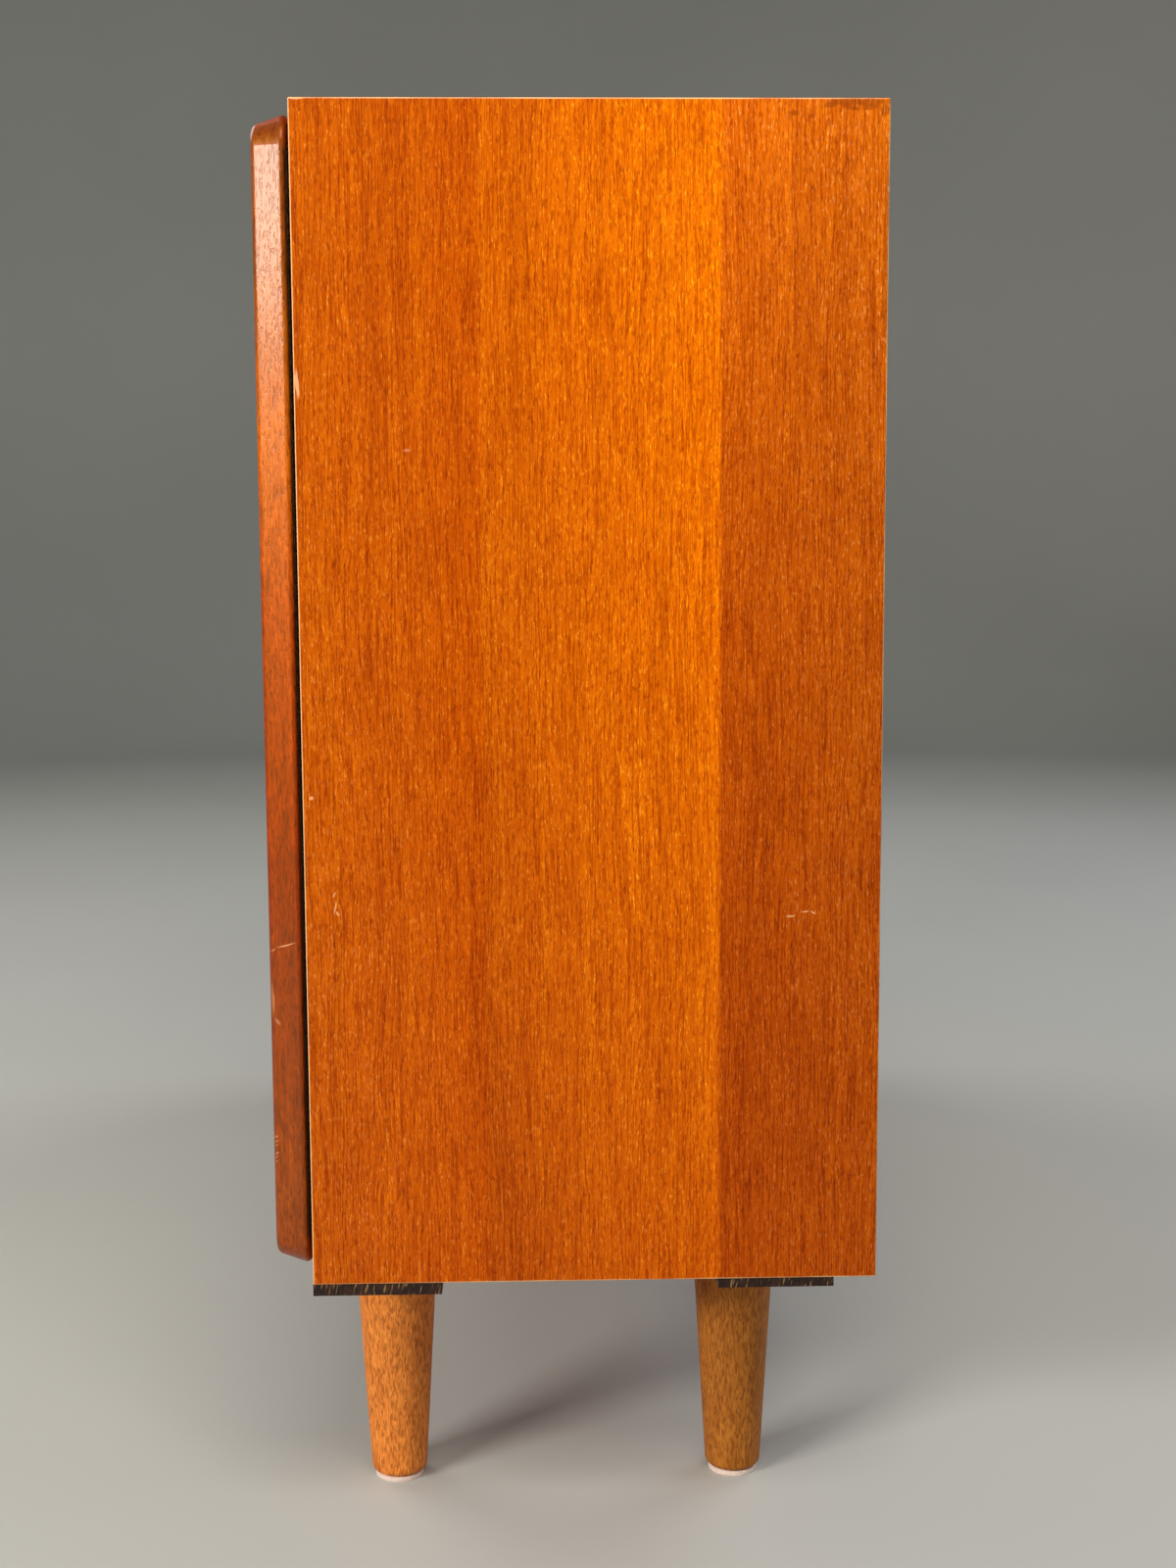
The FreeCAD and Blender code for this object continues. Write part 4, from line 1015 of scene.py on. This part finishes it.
# %% Light
Lamp = namedtuple("Lamp", "name place aim width height watts colour")
LAMPS = (
    Lamp("window_light", (2.25, -1.98, 1.28), (0.50, -0.12, 1.12), 0.95, 0.48, 71.0, "FFF8F0"),
    Lamp("overhead_light", (2.2, 0.3, 2.7), (0.5, 0.0, 0.8), 1.6, 1.2, 50.0, "FFF8F0"),
    Lamp("rear_fill", (0.5, 2.7, 0.9), (0.4, 0.1, 0.3), 1.0, 0.8, 12.0, "F4F7FF"),
    Lamp("front_left_fill", (-1.6, -2.2, 2.5), (0.0, 0.0, 0.4), 1.8, 1.6, 36.0, "FFFAF4"),
    Lamp("rear_left_fill", (-1.6, 2.2, 2.4), (0.0, 0.0, 0.4), 1.8, 1.6, 40.0, "F7F9FF"),
)
SKY_COLOUR, SKY_STRENGTH = "E6E8EA", 0.08
for lamp in LAMPS:
    data = bpy.data.lights.new(lamp.name, "AREA")
    data.shape = "RECTANGLE"
    data.size, data.size_y = lamp.width, lamp.height
    data.energy = lamp.watts
    data.color = to_linear(lamp.colour)[:3]
    holder = placed(lamp.name, data)
    holder.location = lamp.place
    aim = Vector(lamp.aim) - Vector(lamp.place)
    holder.rotation_euler = aim.to_track_quat("-Z", "Y").to_euler()
world = bpy.data.worlds.new("studio_sky")
world.use_nodes = True
sky = world.node_tree.nodes["Background"].inputs
sky["Color"].default_value = to_linear(SKY_COLOUR)
sky["Strength"].default_value = SKY_STRENGTH
bpy.context.scene.world = world
bpy.context.scene.view_settings.view_transform = "Standard"
print(len(LAMPS), "lamps,", sum(lamp.watts for lamp in LAMPS), "watts")

# %% [markdown]
# The camera was fitted to the four corners of the side in the photograph. It stands close to the right-
# hand side, above the middle of the case, and looks slightly down, and it was held a quarter of a degree
# off level.

# %% Camera
CAMERA_PLACE = Vector((1.65825, -0.01077, 0.5832))
CAMERA_TILT, CAMERA_ROLL, CAMERA_TURN = 83.300, 0.278, 88.374  # degrees
LENS, SENSOR = 45.08, 36.0  # millimetres; the sensor's size is along the picture's long side
camera_data = bpy.data.cameras.new("camera")
camera_data.lens = LENS
camera_data.sensor_width = SENSOR
camera = placed("camera", camera_data)
camera.location = CAMERA_PLACE
camera.rotation_euler = Euler([math.radians(a) for a in (CAMERA_TILT, CAMERA_ROLL, CAMERA_TURN)], "XYZ")
bpy.context.scene.camera = camera
print("camera", round((CAMERA_PLACE - case_middle).length, 2), "m from the middle of the case")

# %% [markdown]

# %% End
print("scene built")
